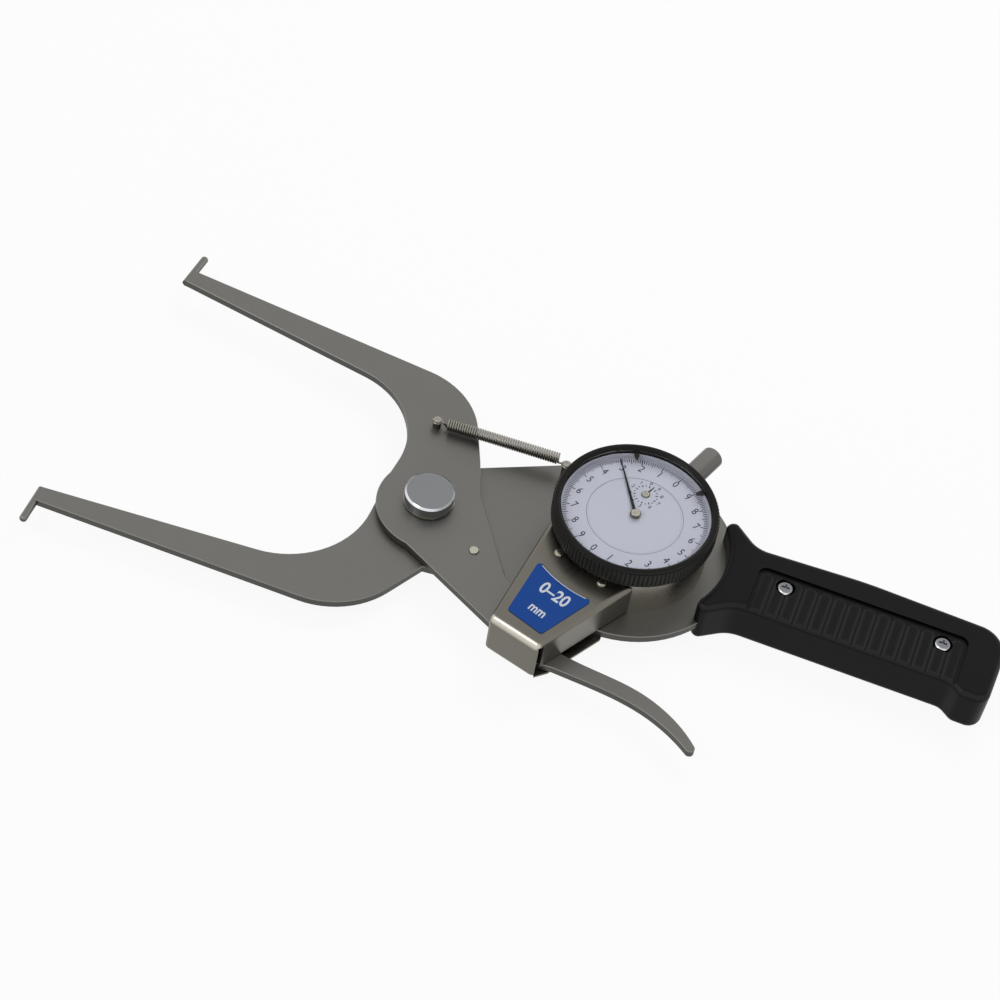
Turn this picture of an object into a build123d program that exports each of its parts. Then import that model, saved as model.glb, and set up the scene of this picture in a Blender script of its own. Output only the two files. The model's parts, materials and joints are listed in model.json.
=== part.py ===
from build123d import *
from math import atan2, cos, degrees, hypot, pi, radians, sin, tan
import os

# Internal dial caliper gauge: two curved jaws on one pivot, squeezed together by a trigger and opened
# by a spring. The tail of the moving jaw lifts a plunger, and a rack, a pinion and two gears turn
# that lift into the movement of the pointer on the dial.
#
# Lengths are millimetres. While a piece is modelled, the pivot axis is x = 0, y = 0, the grip
# lies along +X, and z = 0 is the upper face of the moving jaw. The rest pose is the free one,
# with the jaws fully open. The last step moves every piece together onto the back of the grip.

# Plates, from the top down
JAW_THICKNESS = 3.0
PLATE_GAP = 0.25
FRAME_TOP = -JAW_THICKNESS - PLATE_GAP
FRAME_THICKNESS = 3.0
FRAME_BOTTOM = FRAME_TOP - FRAME_THICKNESS
FRAME_MIDDLE = FRAME_TOP - FRAME_THICKNESS / 2

# Jaws
TIP_X = -122.6
ARM_ROOT_X = -17.2
ARM_TIP_INNER_Y = -48.2
ARM_TIP_OUTER_Y = -54.4
ARM_INNER_SLOPE = 4.55
ARM_INNER_BEND = 31.2
ARM_OUTER_BEND = 30.0
ARM_OUTER_CORNER_X = -7.9
ARM_ROOT = (7.8, -25.3)
MOVING_JAW_TURN = -5.06
TIP_PIN_RADIUS = 1.35
TIP_PIN_REACH = -63.3
CLOSING_ANGLE = 11.0

# Pivot
BORE_RADIUS = 5.03
SHAFT_RADIUS = 5.0
BOSS_RADIUS = 17.4
JAW_BOSS_RADIUS = 20.3
JAW_BOSS_CENTRE = (2.4, -0.5)
JAW_BOSS_END = 8.0
CAP_RADIUS = 8.73
CAP_TOP = 5.3
WASHER_TOP = 0.6
STUD_RADIUS = 4.0
NUT_ACROSS_FLATS = 13.0
NUT_HEIGHT = 4.75

# Return spring and its posts
JAW_POST = (-9.64, 32.95)
FRAME_POST = (38.62, 33.47)
POST_RADIUS = 1.5
POST_FOOT_RADIUS = 1.1
POST_TOP = 3.9
POST_GROOVE_DEPTH = 0.4
POST_GROOVE_HEIGHT = 1.0
SPRING_START = (-5.84, 32.97)
SPRING_END = (35.3, 35.06)
SPRING_RADIUS = 2.15
SPRING_WIRE = 0.75
SPRING_HEIGHT = 2.9
EYE_CLEARANCE = 0.05

# Stop rivet
STOP_RADIUS = 25.9
STOP_ANGLE = -32.5
STOP_SLOT_CLEARANCE = 0.25
STOP_RIVET_RADIUS = 1.5

# Dial case and bezel
DIAL = (69.1, 12.2)
DISC_RADIUS = 38.0
CASE_RADIUS = 27.1
CASE_BORE = 25.3
CASE_FLOOR = 1.6
CASE_SHOULDER = 10.8
CASE_RIM = 14.0
CASE_SCREW_CIRCLE = 20.5
CASE_SCREW_ANGLES = [10, 130, 190, 310]
CASE_SCREW_RADIUS = 1.25
CASE_SCREW_DEPTH = 3.5
SPIGOT_RADIUS = 26.3
BEZEL_RADIUS = 28.6
BEZEL_BOTTOM = 11.2
BEZEL_TOP = 19.4
BEZEL_SKIRT_BORE = 26.6
BEZEL_BORE = 26.1
BEZEL_LIP_BORE = 25.8
LIP_FLARE = 1.0
BEZEL_FLUTES = 116
FLUTE_DEPTH = 0.45
FACE_BOTTOM = 14.2
FACE_TOP = 14.5
COUNTER_FACE_RADIUS = 16.0
FACE_RADIUS = 25.9
CRYSTAL_BOTTOM = 17.8
CRYSTAL_TOP = 18.5
MARKER_ANGLES = {"a": 107.5, "b": 43.5}
MARKER_BOTTOM = 16.8
MARKER_TOP = 17.4
MARKER_PLAY = 0.1
MARKER_SPAN = 4.2
MARKER_TIP = 23.0

# Plunger: its axis lies flat through the dial's axis, at PLUNGER_ANGLE to +X
PLUNGER_ANGLE = 71.0
PLUNGER_Z = 4.6
PLUNGER_RADIUS = 2.25
PLUNGER_BOTTOM = -48.0
PLUNGER_TOP = 34.5
PLUNGER_ARM = 61.5
PLUNGER_CLEARANCE = 0.03
STEM_RADIUS = 4.0
STEM_END = -36.0
STEM_TOP = 35.1
DUST_CAP_END = 49.1
BALL_RADIUS = 2.0
BALL_CENTRE = -50.0
ANVIL_ANGLE = 66.0
ANVIL_GAP = 0.12
ANVIL_WIDTH = 9.0
ANVIL_HEIGHT = 7.0

# Pointers
POINTER_HEIGHT = 15.2
POINTER_ANGLE = 120.0
COUNTER_POINTER_ANGLE = 68.0

# Movement: what the jaw's turn becomes
COUNTER_RATIO = 37.35
GEAR_RATIO = 10
PINION_TEETH = 16
GEAR_TEETH = 100
CENTRE_TEETH = 10
RACK_PINION_RADIUS = PLUNGER_ARM / COUNTER_RATIO
RACK_PITCH = 2 * pi * RACK_PINION_RADIUS / PINION_TEETH
ARBOR_DISTANCE = 10.29
ARBOR_ANGLE = 87.2
DRIVE_RADIUS = ARBOR_DISTANCE * GEAR_RATIO / (GEAR_RATIO + 1)
CENTRE_RADIUS = ARBOR_DISTANCE / (GEAR_RATIO + 1)
MOVEMENT_PLATE_BOTTOM = 7.0
GEAR_BOTTOM = 8.5
GEAR_TOP = 9.3
BRIDGE_BOTTOM = 10.4
MOVEMENT_PLATE_THICKNESS = 0.9
HAIRSPRING_START = 1.1
HAIRSPRING_PITCH = 0.9
HAIRSPRING_WIDTH = 0.2
HAIRSPRING_HALF_TURNS = 9
GUIDE_PIN_PLACE = -11.0
GUIDE_TRAVEL = 12.0
GUIDE_SIDE = -5.4
SPRING_SIDE = -7.9

# Cover over the plunger: a bent sheet
SHEET = 0.8
COVER_TOP = 10.0
COVER_LEFT_FOOT = 0.5
COVER_RIGHT_FOOT = -2.7
COVER_TOP_LEFT = (43.1, 6.2)
COVER_END_LEFT = (37.9, -45.7)
COVER_END_RIGHT = (56.75, -50.9)
COVER_TOP_RIGHT = (78.5, -12.6)
COVER_MIDDLE_X = 50.0
COVER_CUT_RADIUS = 27.6
CORNER_RELIEF = 1.1
COVER_SCREW_RADIUS = 1.0
COVER_SCREW_LENGTH = 5.0
COVER_HEAD_RADIUS = 1.6
COVER_HEAD_HEIGHT = 1.0
PILLAR_RADIUS = 1.9
PILLAR_FOOT_RADIUS = 1.5
COVER_END_FOLD = 2.3
COVER_SIDE_FOLD = 1.0
COVER_SCREWS = [(50.05, -10.84), (67.38, -16.85)]
TONGUE_SCREWS = [(48.5, -17.0), (61.0, -21.5)]
COVER_TONGUE = [
    (38.3, -43.0, 0),
    (56.0, -47.8, 0),
    (57.2, -50.4, 0),
    (61.0, -46.9, 1),
    (72.8, -26.4, 2),
    (70.0, -13.0, 2),
    (44.0, -10.0, 3),
    (41.0, -24.0, 2),
]
LABEL_CORNERS = [(45.2, -18.0, 1.5), (42.3, -40.4, 1.5), (55.9, -45.2, 1.5), (66.8, -25.2, 1.5)]
LABEL_ARC_RADIUS = 37.3
LABEL_THICKNESS = 0.3

# Trigger
TRIGGER_THICKNESS = 2.9
TRIGGER_RIVETS = [(50.6, -42.2), (56.5, -44.4)]
TRIGGER_RIVET_RADIUS = 1.25

# Grip
GRIP_AXIS_Y = 12.3
GRIP_TOP = 5.6
GRIP_BOTTOM = -11.8
GRIP_EDGE_RADIUS = 2.4
GRIP_FRONT_RADIUS = 34.4
HORN_ROUNDING = 2.6
GRIP_SCREWS = [124.9, 180.7]
GRIP_SCREW_RADIUS = 2.0
SCREW_CLEARANCE = 0.1
SCREW_HEAD_RADIUS = 2.9
SCREW_HEAD_HEIGHT = 2.2
HEAD_SEAT_DEPTH = 2.5
CROSS_LENGTH = 2.8
CROSS_WIDTH = 0.7
GRIP_NUT_FLATS = 7.0
NUT_POCKET_DEPTH = 3.0
RIB_COUNT = 14
RIB_PITCH = 5.2
RIB_START = 118.0
RIB_RADIUS = 3.4
RIB_HEIGHT = 0.85
RIB_TOP_Y = 16.8
PANEL_DEPTH = 1.0
PANEL_TOP_Y = 17.6
PANEL_BOTTOM_Y = -4.0
PANEL_CORNER = 3.0
TANG_HALF_WIDTH = 9.5
TANG_END = 196.0


# How a bar sits on its start point
STANDING = (Align.CENTER, Align.CENTER, Align.MIN)


def polar(radius, angle, centre=(0, 0)):
    """Point at a distance and an angle, in degrees, from a centre."""
    return (centre[0] + radius * cos(radians(angle)), centre[1] + radius * sin(radians(angle)))


def bar(radius, bottom, top, at=(0, 0)):
    """Round bar standing between two heights."""
    return Pos(at[0], at[1], bottom) * Cylinder(radius, top - bottom, align=STANDING)


def ring(outer, inner, bottom, top, at=(0, 0)):
    """Round bar with a round bore right through."""
    return bar(outer, bottom, top, at) - bar(inner, bottom - 1, top + 1, at)


def slab(shape, bottom, top):
    """Flat piece of one outline, between two heights."""
    return extrude(Pos(0, 0, bottom) * shape, top - bottom, dir=(0, 0, 1))


def outline(*corners):
    """Closed flat shape from corners (x, y, radius); a radius of 0 stays sharp."""
    points = [(x, y) for x, y, _ in corners]
    radii = [radius for _, _, radius in corners]
    return make_face(FilletPolyline(points, radius=radii, close=True))


def along_plunger(piece):
    """Carry a piece built on the X axis onto the plunger's axis, x = 0 being the dial's axis."""
    return Pos(DIAL[0], DIAL[1], PLUNGER_Z) * Rot(0, 0, PLUNGER_ANGLE) * piece


def rod(radius, start, end):
    """Round rod along the X axis."""
    return Pos(start, 0, 0) * Rot(0, 90, 0) * Cylinder(radius, end - start, align=STANDING)


def gear_outline(teeth, pitch_radius, addendum=0.9, dedendum=1.15, share=0.46, turn=0.0):
    """Flat gear with straight-sided teeth; share is the tooth's part of the pitch at the pitch line."""
    module = 2 * pitch_radius / teeth
    step = 360 / teeth
    tip, root = pitch_radius + addendum * module, pitch_radius - dedendum * module
    points = []
    for tooth in range(teeth):
        middle = turn + tooth * step
        points.append(polar(root, middle - step * share * 0.78))
        points.append(polar(tip, middle - step * share * 0.28))
        points.append(polar(tip, middle + step * share * 0.28))
        points.append(polar(root, middle + step * share * 0.78))
    return make_face(Polyline(points, close=True))


# Jaws and frame


def arm_outline():
    """Curved arm of one jaw, from the contact tip to the pivot, as the fixed jaw lies."""
    corner_y = ARM_TIP_INNER_Y + (ARM_ROOT_X - TIP_X) * tan(radians(ARM_INNER_SLOPE))
    return outline(
        (TIP_X, ARM_TIP_INNER_Y, 0),
        (ARM_ROOT_X, corner_y, ARM_INNER_BEND),
        (ARM_ROOT_X, 0, 0),
        (*ARM_ROOT, 0),
        (ARM_OUTER_CORNER_X, ARM_TIP_OUTER_Y + 0.05, ARM_OUTER_BEND),
        (TIP_X, ARM_TIP_OUTER_Y, 0),
    )


def tip_pin():
    """Contact pin across the end of an arm, with a round nose, at height 0."""
    length = ARM_TIP_INNER_Y - TIP_PIN_REACH
    pin = Cylinder(TIP_PIN_RADIUS, length, align=STANDING)
    pin = fillet(pin.edges().filter_by(GeomType.CIRCLE).sort_by(Axis.Z)[-1], TIP_PIN_RADIUS * 0.8)
    return Pos(TIP_X, ARM_TIP_INNER_Y, 0) * Rot(90, 0, 0) * pin


def moving(piece):
    """Turn a piece of the fixed arm into the same piece of the moving one."""
    return Rot(0, 0, MOVING_JAW_TURN) * mirror(piece, about=Plane.XZ)


def fixed_contact_pin():
    return Pos(0, 0, FRAME_MIDDLE) * tip_pin()


def moving_contact_pin():
    return Pos(0, 0, -JAW_THICKNESS / 2) * moving(tip_pin())


def tang_outline():
    """Straight tang of the frame plate, which runs between the halves of the grip."""
    return outline(
        (DIAL[0], GRIP_AXIS_Y - TANG_HALF_WIDTH, 0),
        (TANG_END, GRIP_AXIS_Y - TANG_HALF_WIDTH, 4),
        (TANG_END, GRIP_AXIS_Y + TANG_HALF_WIDTH, 4),
        (DIAL[0], GRIP_AXIS_Y + TANG_HALF_WIDTH, 0),
    )


def frame_plate():
    """Fixed jaw, pivot boss, dial disc and tang, cut from one plate."""
    body = outline(
        (-6.5, 15.4, 0),
        (37.2, 38.6, 1.6),
        (44.5, 33.5, 0),
        (60, 12, 0),
        (50, -20.6, 0),
        (*ARM_ROOT, 0),
        (-14, -14, 0),
    )
    shape = arm_outline() + Circle(BOSS_RADIUS) + body + Pos(*DIAL) * Circle(DISC_RADIUS) + tang_outline()
    holes = [(SHAFT_RADIUS, (0, 0)), (POST_FOOT_RADIUS, FRAME_POST)]
    holes += [(GRIP_SCREW_RADIUS + SCREW_CLEARANCE, (x, GRIP_AXIS_Y)) for x in GRIP_SCREWS]
    holes += [(CASE_SCREW_RADIUS, at) for at in case_screw_places()]
    holes += [(COVER_SCREW_RADIUS, at) for at in TONGUE_SCREWS]
    holes += [(PILLAR_FOOT_RADIUS, at) for at in COVER_SCREWS]
    for radius, at in holes:
        shape -= Pos(*at) * Circle(radius)
    travel = CenterArc((0, 0), STOP_RADIUS, STOP_ANGLE - 0.5, CLOSING_ANGLE + 1)
    shape -= SlotArc(travel, 2 * (STOP_RIVET_RADIUS + STOP_SLOT_CLEARANCE))
    return slab(shape, FRAME_BOTTOM, FRAME_TOP) - fixed_contact_pin()


def moving_jaw():
    """Moving jaw: the same arm turned over, a wide boss, and the tail that runs under the cover."""
    root = polar(hypot(*ARM_ROOT), degrees(atan2(-ARM_ROOT[1], ARM_ROOT[0])) + MOVING_JAW_TURN)
    tail = outline(
        (-7.5, -16.9, 0),
        (41.0, -42.4, 12),
        (55.5, -48.2, 2),
        (59.5, -41.5, 2),
        (52.0, -34.0, 6),
        (38.6, -21.6, 0.8),
        (35.3, -19.8, 0.6),
        (15.4, 10.2, 20),
        (*root, 0),
        (-8.0, 12.0, 0),
    )
    boss = Pos(*JAW_BOSS_CENTRE) * Circle(JAW_BOSS_RADIUS)
    boss &= Pos(JAW_BOSS_END, 0) * Rectangle(60, 60, align=(Align.MAX, Align.CENTER))
    shape = moving(arm_outline()) + boss + tail
    holes = [(BORE_RADIUS, (0, 0)), (POST_FOOT_RADIUS, JAW_POST)]
    holes.append((STOP_RIVET_RADIUS, polar(STOP_RADIUS, STOP_ANGLE)))
    holes += [(TRIGGER_RIVET_RADIUS, at) for at in TRIGGER_RIVETS]
    for radius, at in holes:
        shape -= Pos(*at) * Circle(radius)
    return slab(shape, -JAW_THICKNESS, 0) - moving_contact_pin()


# Pivot


def pivot_shaft():
    """Shoulder shaft: pressed in the frame, with the jaw turning on it, and a stud at each end."""
    shaft = bar(SHAFT_RADIUS, FRAME_BOTTOM, WASHER_TOP)
    shaft += bar(3.0, WASHER_TOP, WASHER_TOP + 3.2)
    return shaft + bar(STUD_RADIUS, FRAME_BOTTOM - 0.8 - NUT_HEIGHT, FRAME_BOTTOM)


def pivot_cap():
    """Bright round head, screwed on the upper stud."""
    cap = bar(CAP_RADIUS, WASHER_TOP, CAP_TOP)
    cap = chamfer(cap.edges().group_by(Axis.Z)[-1], 0.6)
    return cap - bar(3.0, WASHER_TOP - 1, WASHER_TOP + 3.2)


def pivot_washers():
    """Thrust washers: one above the jaw, one between the plates, one under the nut."""
    above = ring(8.9, SHAFT_RADIUS, 0.05, WASHER_TOP)
    between = ring(7.5, SHAFT_RADIUS, FRAME_TOP, -JAW_THICKNESS - 0.05)
    below = ring(8.4, STUD_RADIUS, FRAME_BOTTOM - 0.8, FRAME_BOTTOM)
    return above + between + below


def pivot_nut():
    """Thin hexagon nut on the lower stud."""
    top = FRAME_BOTTOM - 0.8
    hexagon = RegularPolygon(NUT_ACROSS_FLATS / 2, 6, major_radius=False)
    return slab(hexagon, top - NUT_HEIGHT, top) - bar(STUD_RADIUS, top - NUT_HEIGHT - 1, top + 1)


def stop_rivet():
    """Brass rivet in the jaw, whose shank runs in the frame's slot and stops the jaw both ways."""
    at = polar(STOP_RADIUS, STOP_ANGLE)
    rivet = bar(STOP_RIVET_RADIUS, FRAME_BOTTOM, 0, at)
    head = bar(STOP_RIVET_RADIUS + 0.2, 0, 0.5, at)
    return rivet + fillet(head.edges().group_by(Axis.Z)[-1], 0.35)


# Return spring


def grooved_post(at, foot, seat):
    """Post with a foot riveted in its plate and a groove for the spring's eye."""
    post = bar(POST_FOOT_RADIUS, foot, seat, at) + bar(POST_RADIUS, seat, POST_TOP, at)
    low = SPRING_HEIGHT - POST_GROOVE_HEIGHT / 2
    return post - ring(2 * POST_RADIUS, POST_RADIUS - POST_GROOVE_DEPTH, low, low + POST_GROOVE_HEIGHT, at)


def spring_post():
    """Post on the moving jaw."""
    return grooved_post(JAW_POST, -JAW_THICKNESS, 0)


def spring_anchor_post():
    """Post on the frame, taller because the frame lies lower."""
    return grooved_post(FRAME_POST, FRAME_BOTTOM, FRAME_TOP)


def spring_eye(post, reach):
    """Wire eye round a post's groove, with the leg that joins it to the coils."""
    eye_radius = POST_RADIUS - POST_GROOVE_DEPTH + EYE_CLEARANCE + SPRING_WIRE / 2
    loop = Pos(post[0], post[1], SPRING_HEIGHT) * Torus(eye_radius, SPRING_WIRE / 2)
    start = post[0] + eye_radius * (1 if reach > post[0] else -1)
    leg = rod(SPRING_WIRE / 2, min(start, reach), max(start, reach))
    return loop + Pos(0, post[1], SPRING_HEIGHT) * leg


def return_spring():
    """Close-wound extension spring as the tube that its coils fill, with an eye at each end.

    The left leg leaves the middle of the coils, and the right one their near side.
    """
    across, along = SPRING_END[1] - SPRING_START[1], SPRING_END[0] - SPRING_START[0]
    length = hypot(along, across)
    coils = rod(SPRING_RADIUS, 0, length)
    coils -= rod(SPRING_RADIUS - SPRING_WIRE, SPRING_WIRE, length - SPRING_WIRE)
    coils = Pos(*SPRING_START, SPRING_HEIGHT) * Rot(0, 0, degrees(atan2(across, along))) * coils
    left = spring_eye(JAW_POST, SPRING_START[0] + SPRING_WIRE / 2)
    return coils + left + spring_eye(FRAME_POST, SPRING_END[0] - SPRING_WIRE / 2)


# Dial


def case_screw_places():
    """Four screws hold the case to the frame, clear of the plunger."""
    return [polar(CASE_SCREW_CIRCLE, angle, DIAL) for angle in CASE_SCREW_ANGLES]


def dial_case():
    """Drum of the dial: floor, wall, and the spigot that the bezel turns on."""
    case = bar(CASE_RADIUS, FRAME_TOP, CASE_SHOULDER, DIAL)
    case += bar(SPIGOT_RADIUS, CASE_SHOULDER, CASE_RIM, DIAL)
    case -= bar(CASE_BORE, FRAME_TOP + CASE_FLOOR, CASE_RIM + 1, DIAL)
    case += pillars(FRAME_TOP + CASE_FLOOR, MOVEMENT_PLATE_BOTTOM)
    for at in case_screw_places():
        case += bar(2.6, FRAME_TOP + CASE_FLOOR, FRAME_TOP + CASE_SCREW_DEPTH + 1, at)
        case -= bar(CASE_SCREW_RADIUS, FRAME_TOP - 1, FRAME_TOP + CASE_SCREW_DEPTH, at)
    arbor = polar(ARBOR_DISTANCE, ARBOR_ANGLE, DIAL)
    case -= bar(0.5, FRAME_TOP + 0.6, FRAME_TOP + CASE_FLOOR + 1, arbor)
    return case - along_plunger(rod(STEM_RADIUS, -CASE_RADIUS - 1, CASE_RADIUS + 1))


def pillars(bottom, top):
    """Four round pillars that carry the movement plates, beside the plunger."""
    group = bar(1.6, bottom, top, polar(18.0, 20, DIAL))
    for angle in (135, 200, 315):
        group += bar(1.6, bottom, top, polar(18.0, angle, DIAL))
    return group


def stem():
    """Guide bushes of the plunger: one in the case wall on each side."""
    lower = rod(STEM_RADIUS, STEM_END, 1.0 - CASE_BORE)
    lower -= rod(PLUNGER_RADIUS + PLUNGER_CLEARANCE, STEM_END - 1, 0)
    upper = rod(STEM_RADIUS, CASE_BORE - 1.0, STEM_TOP)
    upper -= rod(PLUNGER_RADIUS + PLUNGER_CLEARANCE, 0, STEM_TOP + 1)
    return along_plunger(lower + upper)


def dust_cap():
    """Closed cap over the upper end of the plunger."""
    cap = rod(STEM_RADIUS, STEM_TOP, DUST_CAP_END)
    cap = chamfer(cap.edges().group_by(Axis.X)[-1], 0.5)
    return along_plunger(cap - rod(PLUNGER_RADIUS + 0.5, STEM_TOP - 1, DUST_CAP_END - 1.2))


def case_screws():
    """Countersunk screws through the frame into the case floor."""
    group = []
    for at in case_screw_places():
        screw = bar(CASE_SCREW_RADIUS, FRAME_BOTTOM, FRAME_TOP + CASE_SCREW_DEPTH, at)
        group.append(screw + bar(2.2, FRAME_BOTTOM - 0.9, FRAME_BOTTOM, at))
    return Compound(group)


def bezel_ring():
    """Knurled rim that carries the crystal and the face, and turns on the case to set zero."""
    flutes = []
    for flute in range(BEZEL_FLUTES):
        angle = flute * 360 / BEZEL_FLUTES
        flutes.append(polar(BEZEL_RADIUS, angle))
        flutes.append(polar(BEZEL_RADIUS, angle + 180 / BEZEL_FLUTES))
        flutes.append(polar(BEZEL_RADIUS - FLUTE_DEPTH, angle + 270 / BEZEL_FLUTES))
    knurl = Pos(*DIAL) * make_face(Polyline(flutes, close=True))
    body = bar(BEZEL_RADIUS - FLUTE_DEPTH, BEZEL_BOTTOM, BEZEL_TOP, DIAL)
    body = chamfer(body.edges().group_by(Axis.Z)[-1], 0.4)
    body += slab(knurl, BEZEL_BOTTOM + 0.6, BEZEL_TOP - 0.8)
    body -= bar(BEZEL_SKIRT_BORE, BEZEL_BOTTOM - 1, FACE_BOTTOM, DIAL)
    body -= bar(FACE_RADIUS, FACE_BOTTOM - 1, MARKER_BOTTOM, DIAL)
    body -= bar(BEZEL_BORE, MARKER_BOTTOM - 1, CRYSTAL_TOP, DIAL)
    body -= Pos(DIAL[0], DIAL[1], CRYSTAL_TOP) * lip_cone()
    return body - bar(BEZEL_BORE + 0.5, MARKER_BOTTOM - MARKER_PLAY, MARKER_TOP + MARKER_PLAY, DIAL)


def lip_cone():
    """Opening of the lip above the crystal, wider at the top."""
    height = BEZEL_TOP - CRYSTAL_TOP
    return Cone(BEZEL_LIP_BORE, BEZEL_LIP_BORE + LIP_FLARE, height, align=STANDING)


def crystal():
    return bar(BEZEL_BORE, CRYSTAL_BOTTOM, CRYSTAL_TOP, DIAL)


def dial_face():
    """Outer ring of the face, with the main scale, which turns with the bezel."""
    return ring(FACE_RADIUS, COUNTER_FACE_RADIUS + 0.05, FACE_BOTTOM, FACE_TOP, DIAL)


def counter_face():
    """Inner disc of the face, with the counter's scale, standing on three posts of the bridge."""
    face = bar(COUNTER_FACE_RADIUS, FACE_BOTTOM, FACE_TOP, DIAL)
    face -= bar(1.0, FACE_BOTTOM - 1, FACE_TOP + 1, DIAL)
    face -= bar(1.0, FACE_BOTTOM - 1, FACE_TOP + 1, polar(ARBOR_DISTANCE, ARBOR_ANGLE, DIAL))
    for angle in (20, 135, 200, 315):
        face += bar(0.9, BRIDGE_BOTTOM + MOVEMENT_PLATE_THICKNESS, FACE_BOTTOM, polar(14.0, angle, DIAL))
    return face


def tolerance_marker_a():
    return tolerance_marker(MARKER_ANGLES["a"])


def tolerance_marker_b():
    return tolerance_marker(MARKER_ANGLES["b"])


def tolerance_marker(angle):
    """Black tab that slides in the bezel's inner groove and marks one limit on the scale."""
    rim, shoulder = BEZEL_BORE + 0.4, BEZEL_LIP_BORE - 1.0
    start, end = angle - MARKER_SPAN / 2, angle + MARKER_SPAN / 2
    corners = [(rim, end), (shoulder, end), (MARKER_TIP, angle + 1), (MARKER_TIP, angle - 1)]
    corners += [(shoulder, start), (rim, start)]
    inside = Polyline([polar(radius, turn, DIAL) for radius, turn in corners])
    return slab(make_face([CenterArc(DIAL, rim, start, MARKER_SPAN), inside]), MARKER_BOTTOM, MARKER_TOP)


# Movement


def plunger_spindle():
    """Plunger rod with the rack's teeth cut in the side that faces the pinion."""
    spindle = rod(PLUNGER_RADIUS, PLUNGER_BOTTOM, PLUNGER_TOP)
    side = ARBOR_DISTANCE * sin(radians(ARBOR_ANGLE - PLUNGER_ANGLE))
    middle = ARBOR_DISTANCE * cos(radians(ARBOR_ANGLE - PLUNGER_ANGLE))
    pitch_line = side - RACK_PINION_RADIUS
    module = RACK_PITCH / pi
    tip, root = pitch_line + 0.9 * module, pitch_line - 1.15 * module
    teeth = 25
    start = middle - 21.5 * RACK_PITCH
    points = [(start, 3.0), (start, root)]
    for tooth in range(teeth):
        centre = start + (tooth + 0.5) * RACK_PITCH
        points.append((centre - 0.36 * RACK_PITCH, root))
        points.append((centre - 0.13 * RACK_PITCH, tip))
        points.append((centre + 0.13 * RACK_PITCH, tip))
        points.append((centre + 0.36 * RACK_PITCH, root))
    end = start + teeth * RACK_PITCH
    points += [(end, root), (end, 3.0)]
    return along_plunger(spindle - slab(make_face(Polyline(points, close=True)), -3, 3)) - plunger_guide_pin()


def plunger_guide_pin():
    """Pin across the plunger; its end slides in a slot beside it and keeps the plunger from turning."""
    pin = Rot(90, 0, 0) * Cylinder(0.6, 5.4, align=STANDING)
    return along_plunger(Pos(GUIDE_PIN_PLACE, 0.8 - PLUNGER_RADIUS, 0) * pin)


def plunger_guide():
    """Slotted rail on the case floor for the plunger's pin."""
    floor = FRAME_TOP + CASE_FLOOR - PLUNGER_Z
    rail = Box(GUIDE_TRAVEL + 5, 2.0, 7.6, align=(Align.MIN, Align.CENTER, Align.MIN))
    rail = Pos(GUIDE_PIN_PLACE - 2.5, GUIDE_SIDE, floor) * rail
    slot = Box(GUIDE_TRAVEL + 2, 3, 1.3, align=(Align.MIN, Align.CENTER, Align.CENTER))
    slot = Pos(GUIDE_PIN_PLACE - 1, GUIDE_SIDE, 0) * slot
    post = Pos(GUIDE_PIN_PLACE - 10.0, SPRING_SIDE, floor) * Cylinder(1.0, 7.4, align=STANDING)
    return along_plunger(rail - slot + post)


def plunger_spring():
    """Extension spring that pulls the plunger out, as the tube that its coils fill."""
    start, end, wire = GUIDE_PIN_PLACE - 9.0, GUIDE_PIN_PLACE - 0.8, 0.4
    coils = rod(1.0, start, end) - rod(1.0 - wire, start + wire, end - wire)
    return along_plunger(Pos(0, SPRING_SIDE, 0) * coils)


def contact_point():
    """Ball-ended point screwed on the lower end of the plunger, which rests on the anvil."""
    point = rod(1.7, BALL_CENTRE, PLUNGER_BOTTOM) + Pos(BALL_CENTRE, 0, 0) * Sphere(BALL_RADIUS)
    return along_plunger(point)


def plunger_anvil():
    """Block standing on the tail; its flat face lies at a right angle to the push of the ball."""
    ball = polar(BALL_CENTRE, PLUNGER_ANGLE, DIAL)
    contact = polar(-BALL_RADIUS - ANVIL_GAP, ANVIL_ANGLE, ball)
    block = Pos(*contact) * Rot(0, 0, ANVIL_ANGLE) * Pos(-1.75, 0) * RectangleRounded(3.5, ANVIL_WIDTH, 0.4)
    return slab(block, 0, ANVIL_HEIGHT)


def rack_pinion():
    """Pinion on its arbor: the rack turns it, and it carries the drive gear and the small pointer."""
    at = polar(ARBOR_DISTANCE, ARBOR_ANGLE, DIAL)
    turn = PLUNGER_ANGLE - 90 + 180 / PINION_TEETH
    teeth = gear_outline(PINION_TEETH, RACK_PINION_RADIUS, share=0.42, turn=turn)
    pinion = slab(Pos(*at) * teeth, 2.9, 6.3)
    arbor = bar(0.45, FRAME_TOP + 0.7, 2.9, at) + bar(0.6, 6.3, GEAR_BOTTOM, at)
    return pinion + arbor + bar(0.6, GEAR_BOTTOM, FACE_TOP + 0.5, at)


def drive_gear():
    """Large gear on the pinion's arbor."""
    at = polar(ARBOR_DISTANCE, ARBOR_ANGLE, DIAL)
    wheel = gear_outline(GEAR_TEETH, DRIVE_RADIUS, turn=ARBOR_ANGLE + 180)
    return slab(Pos(*at) * wheel, GEAR_BOTTOM, GEAR_TOP) - bar(0.6, GEAR_BOTTOM - 1, GEAR_TOP + 1, at)


def centre_pinion():
    """Pinion on the dial's axis, which carries the main pointer."""
    teeth = gear_outline(CENTRE_TEETH, CENTRE_RADIUS, share=0.40, turn=ARBOR_ANGLE + 180 / CENTRE_TEETH)
    low, high = GEAR_BOTTOM - 0.2, GEAR_TOP + 0.2
    arbor = bar(0.4, MOVEMENT_PLATE_BOTTOM, low, DIAL) + bar(0.5, high, POINTER_HEIGHT + 0.7, DIAL)
    return slab(Pos(*DIAL) * teeth, low, high) + arbor


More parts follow.
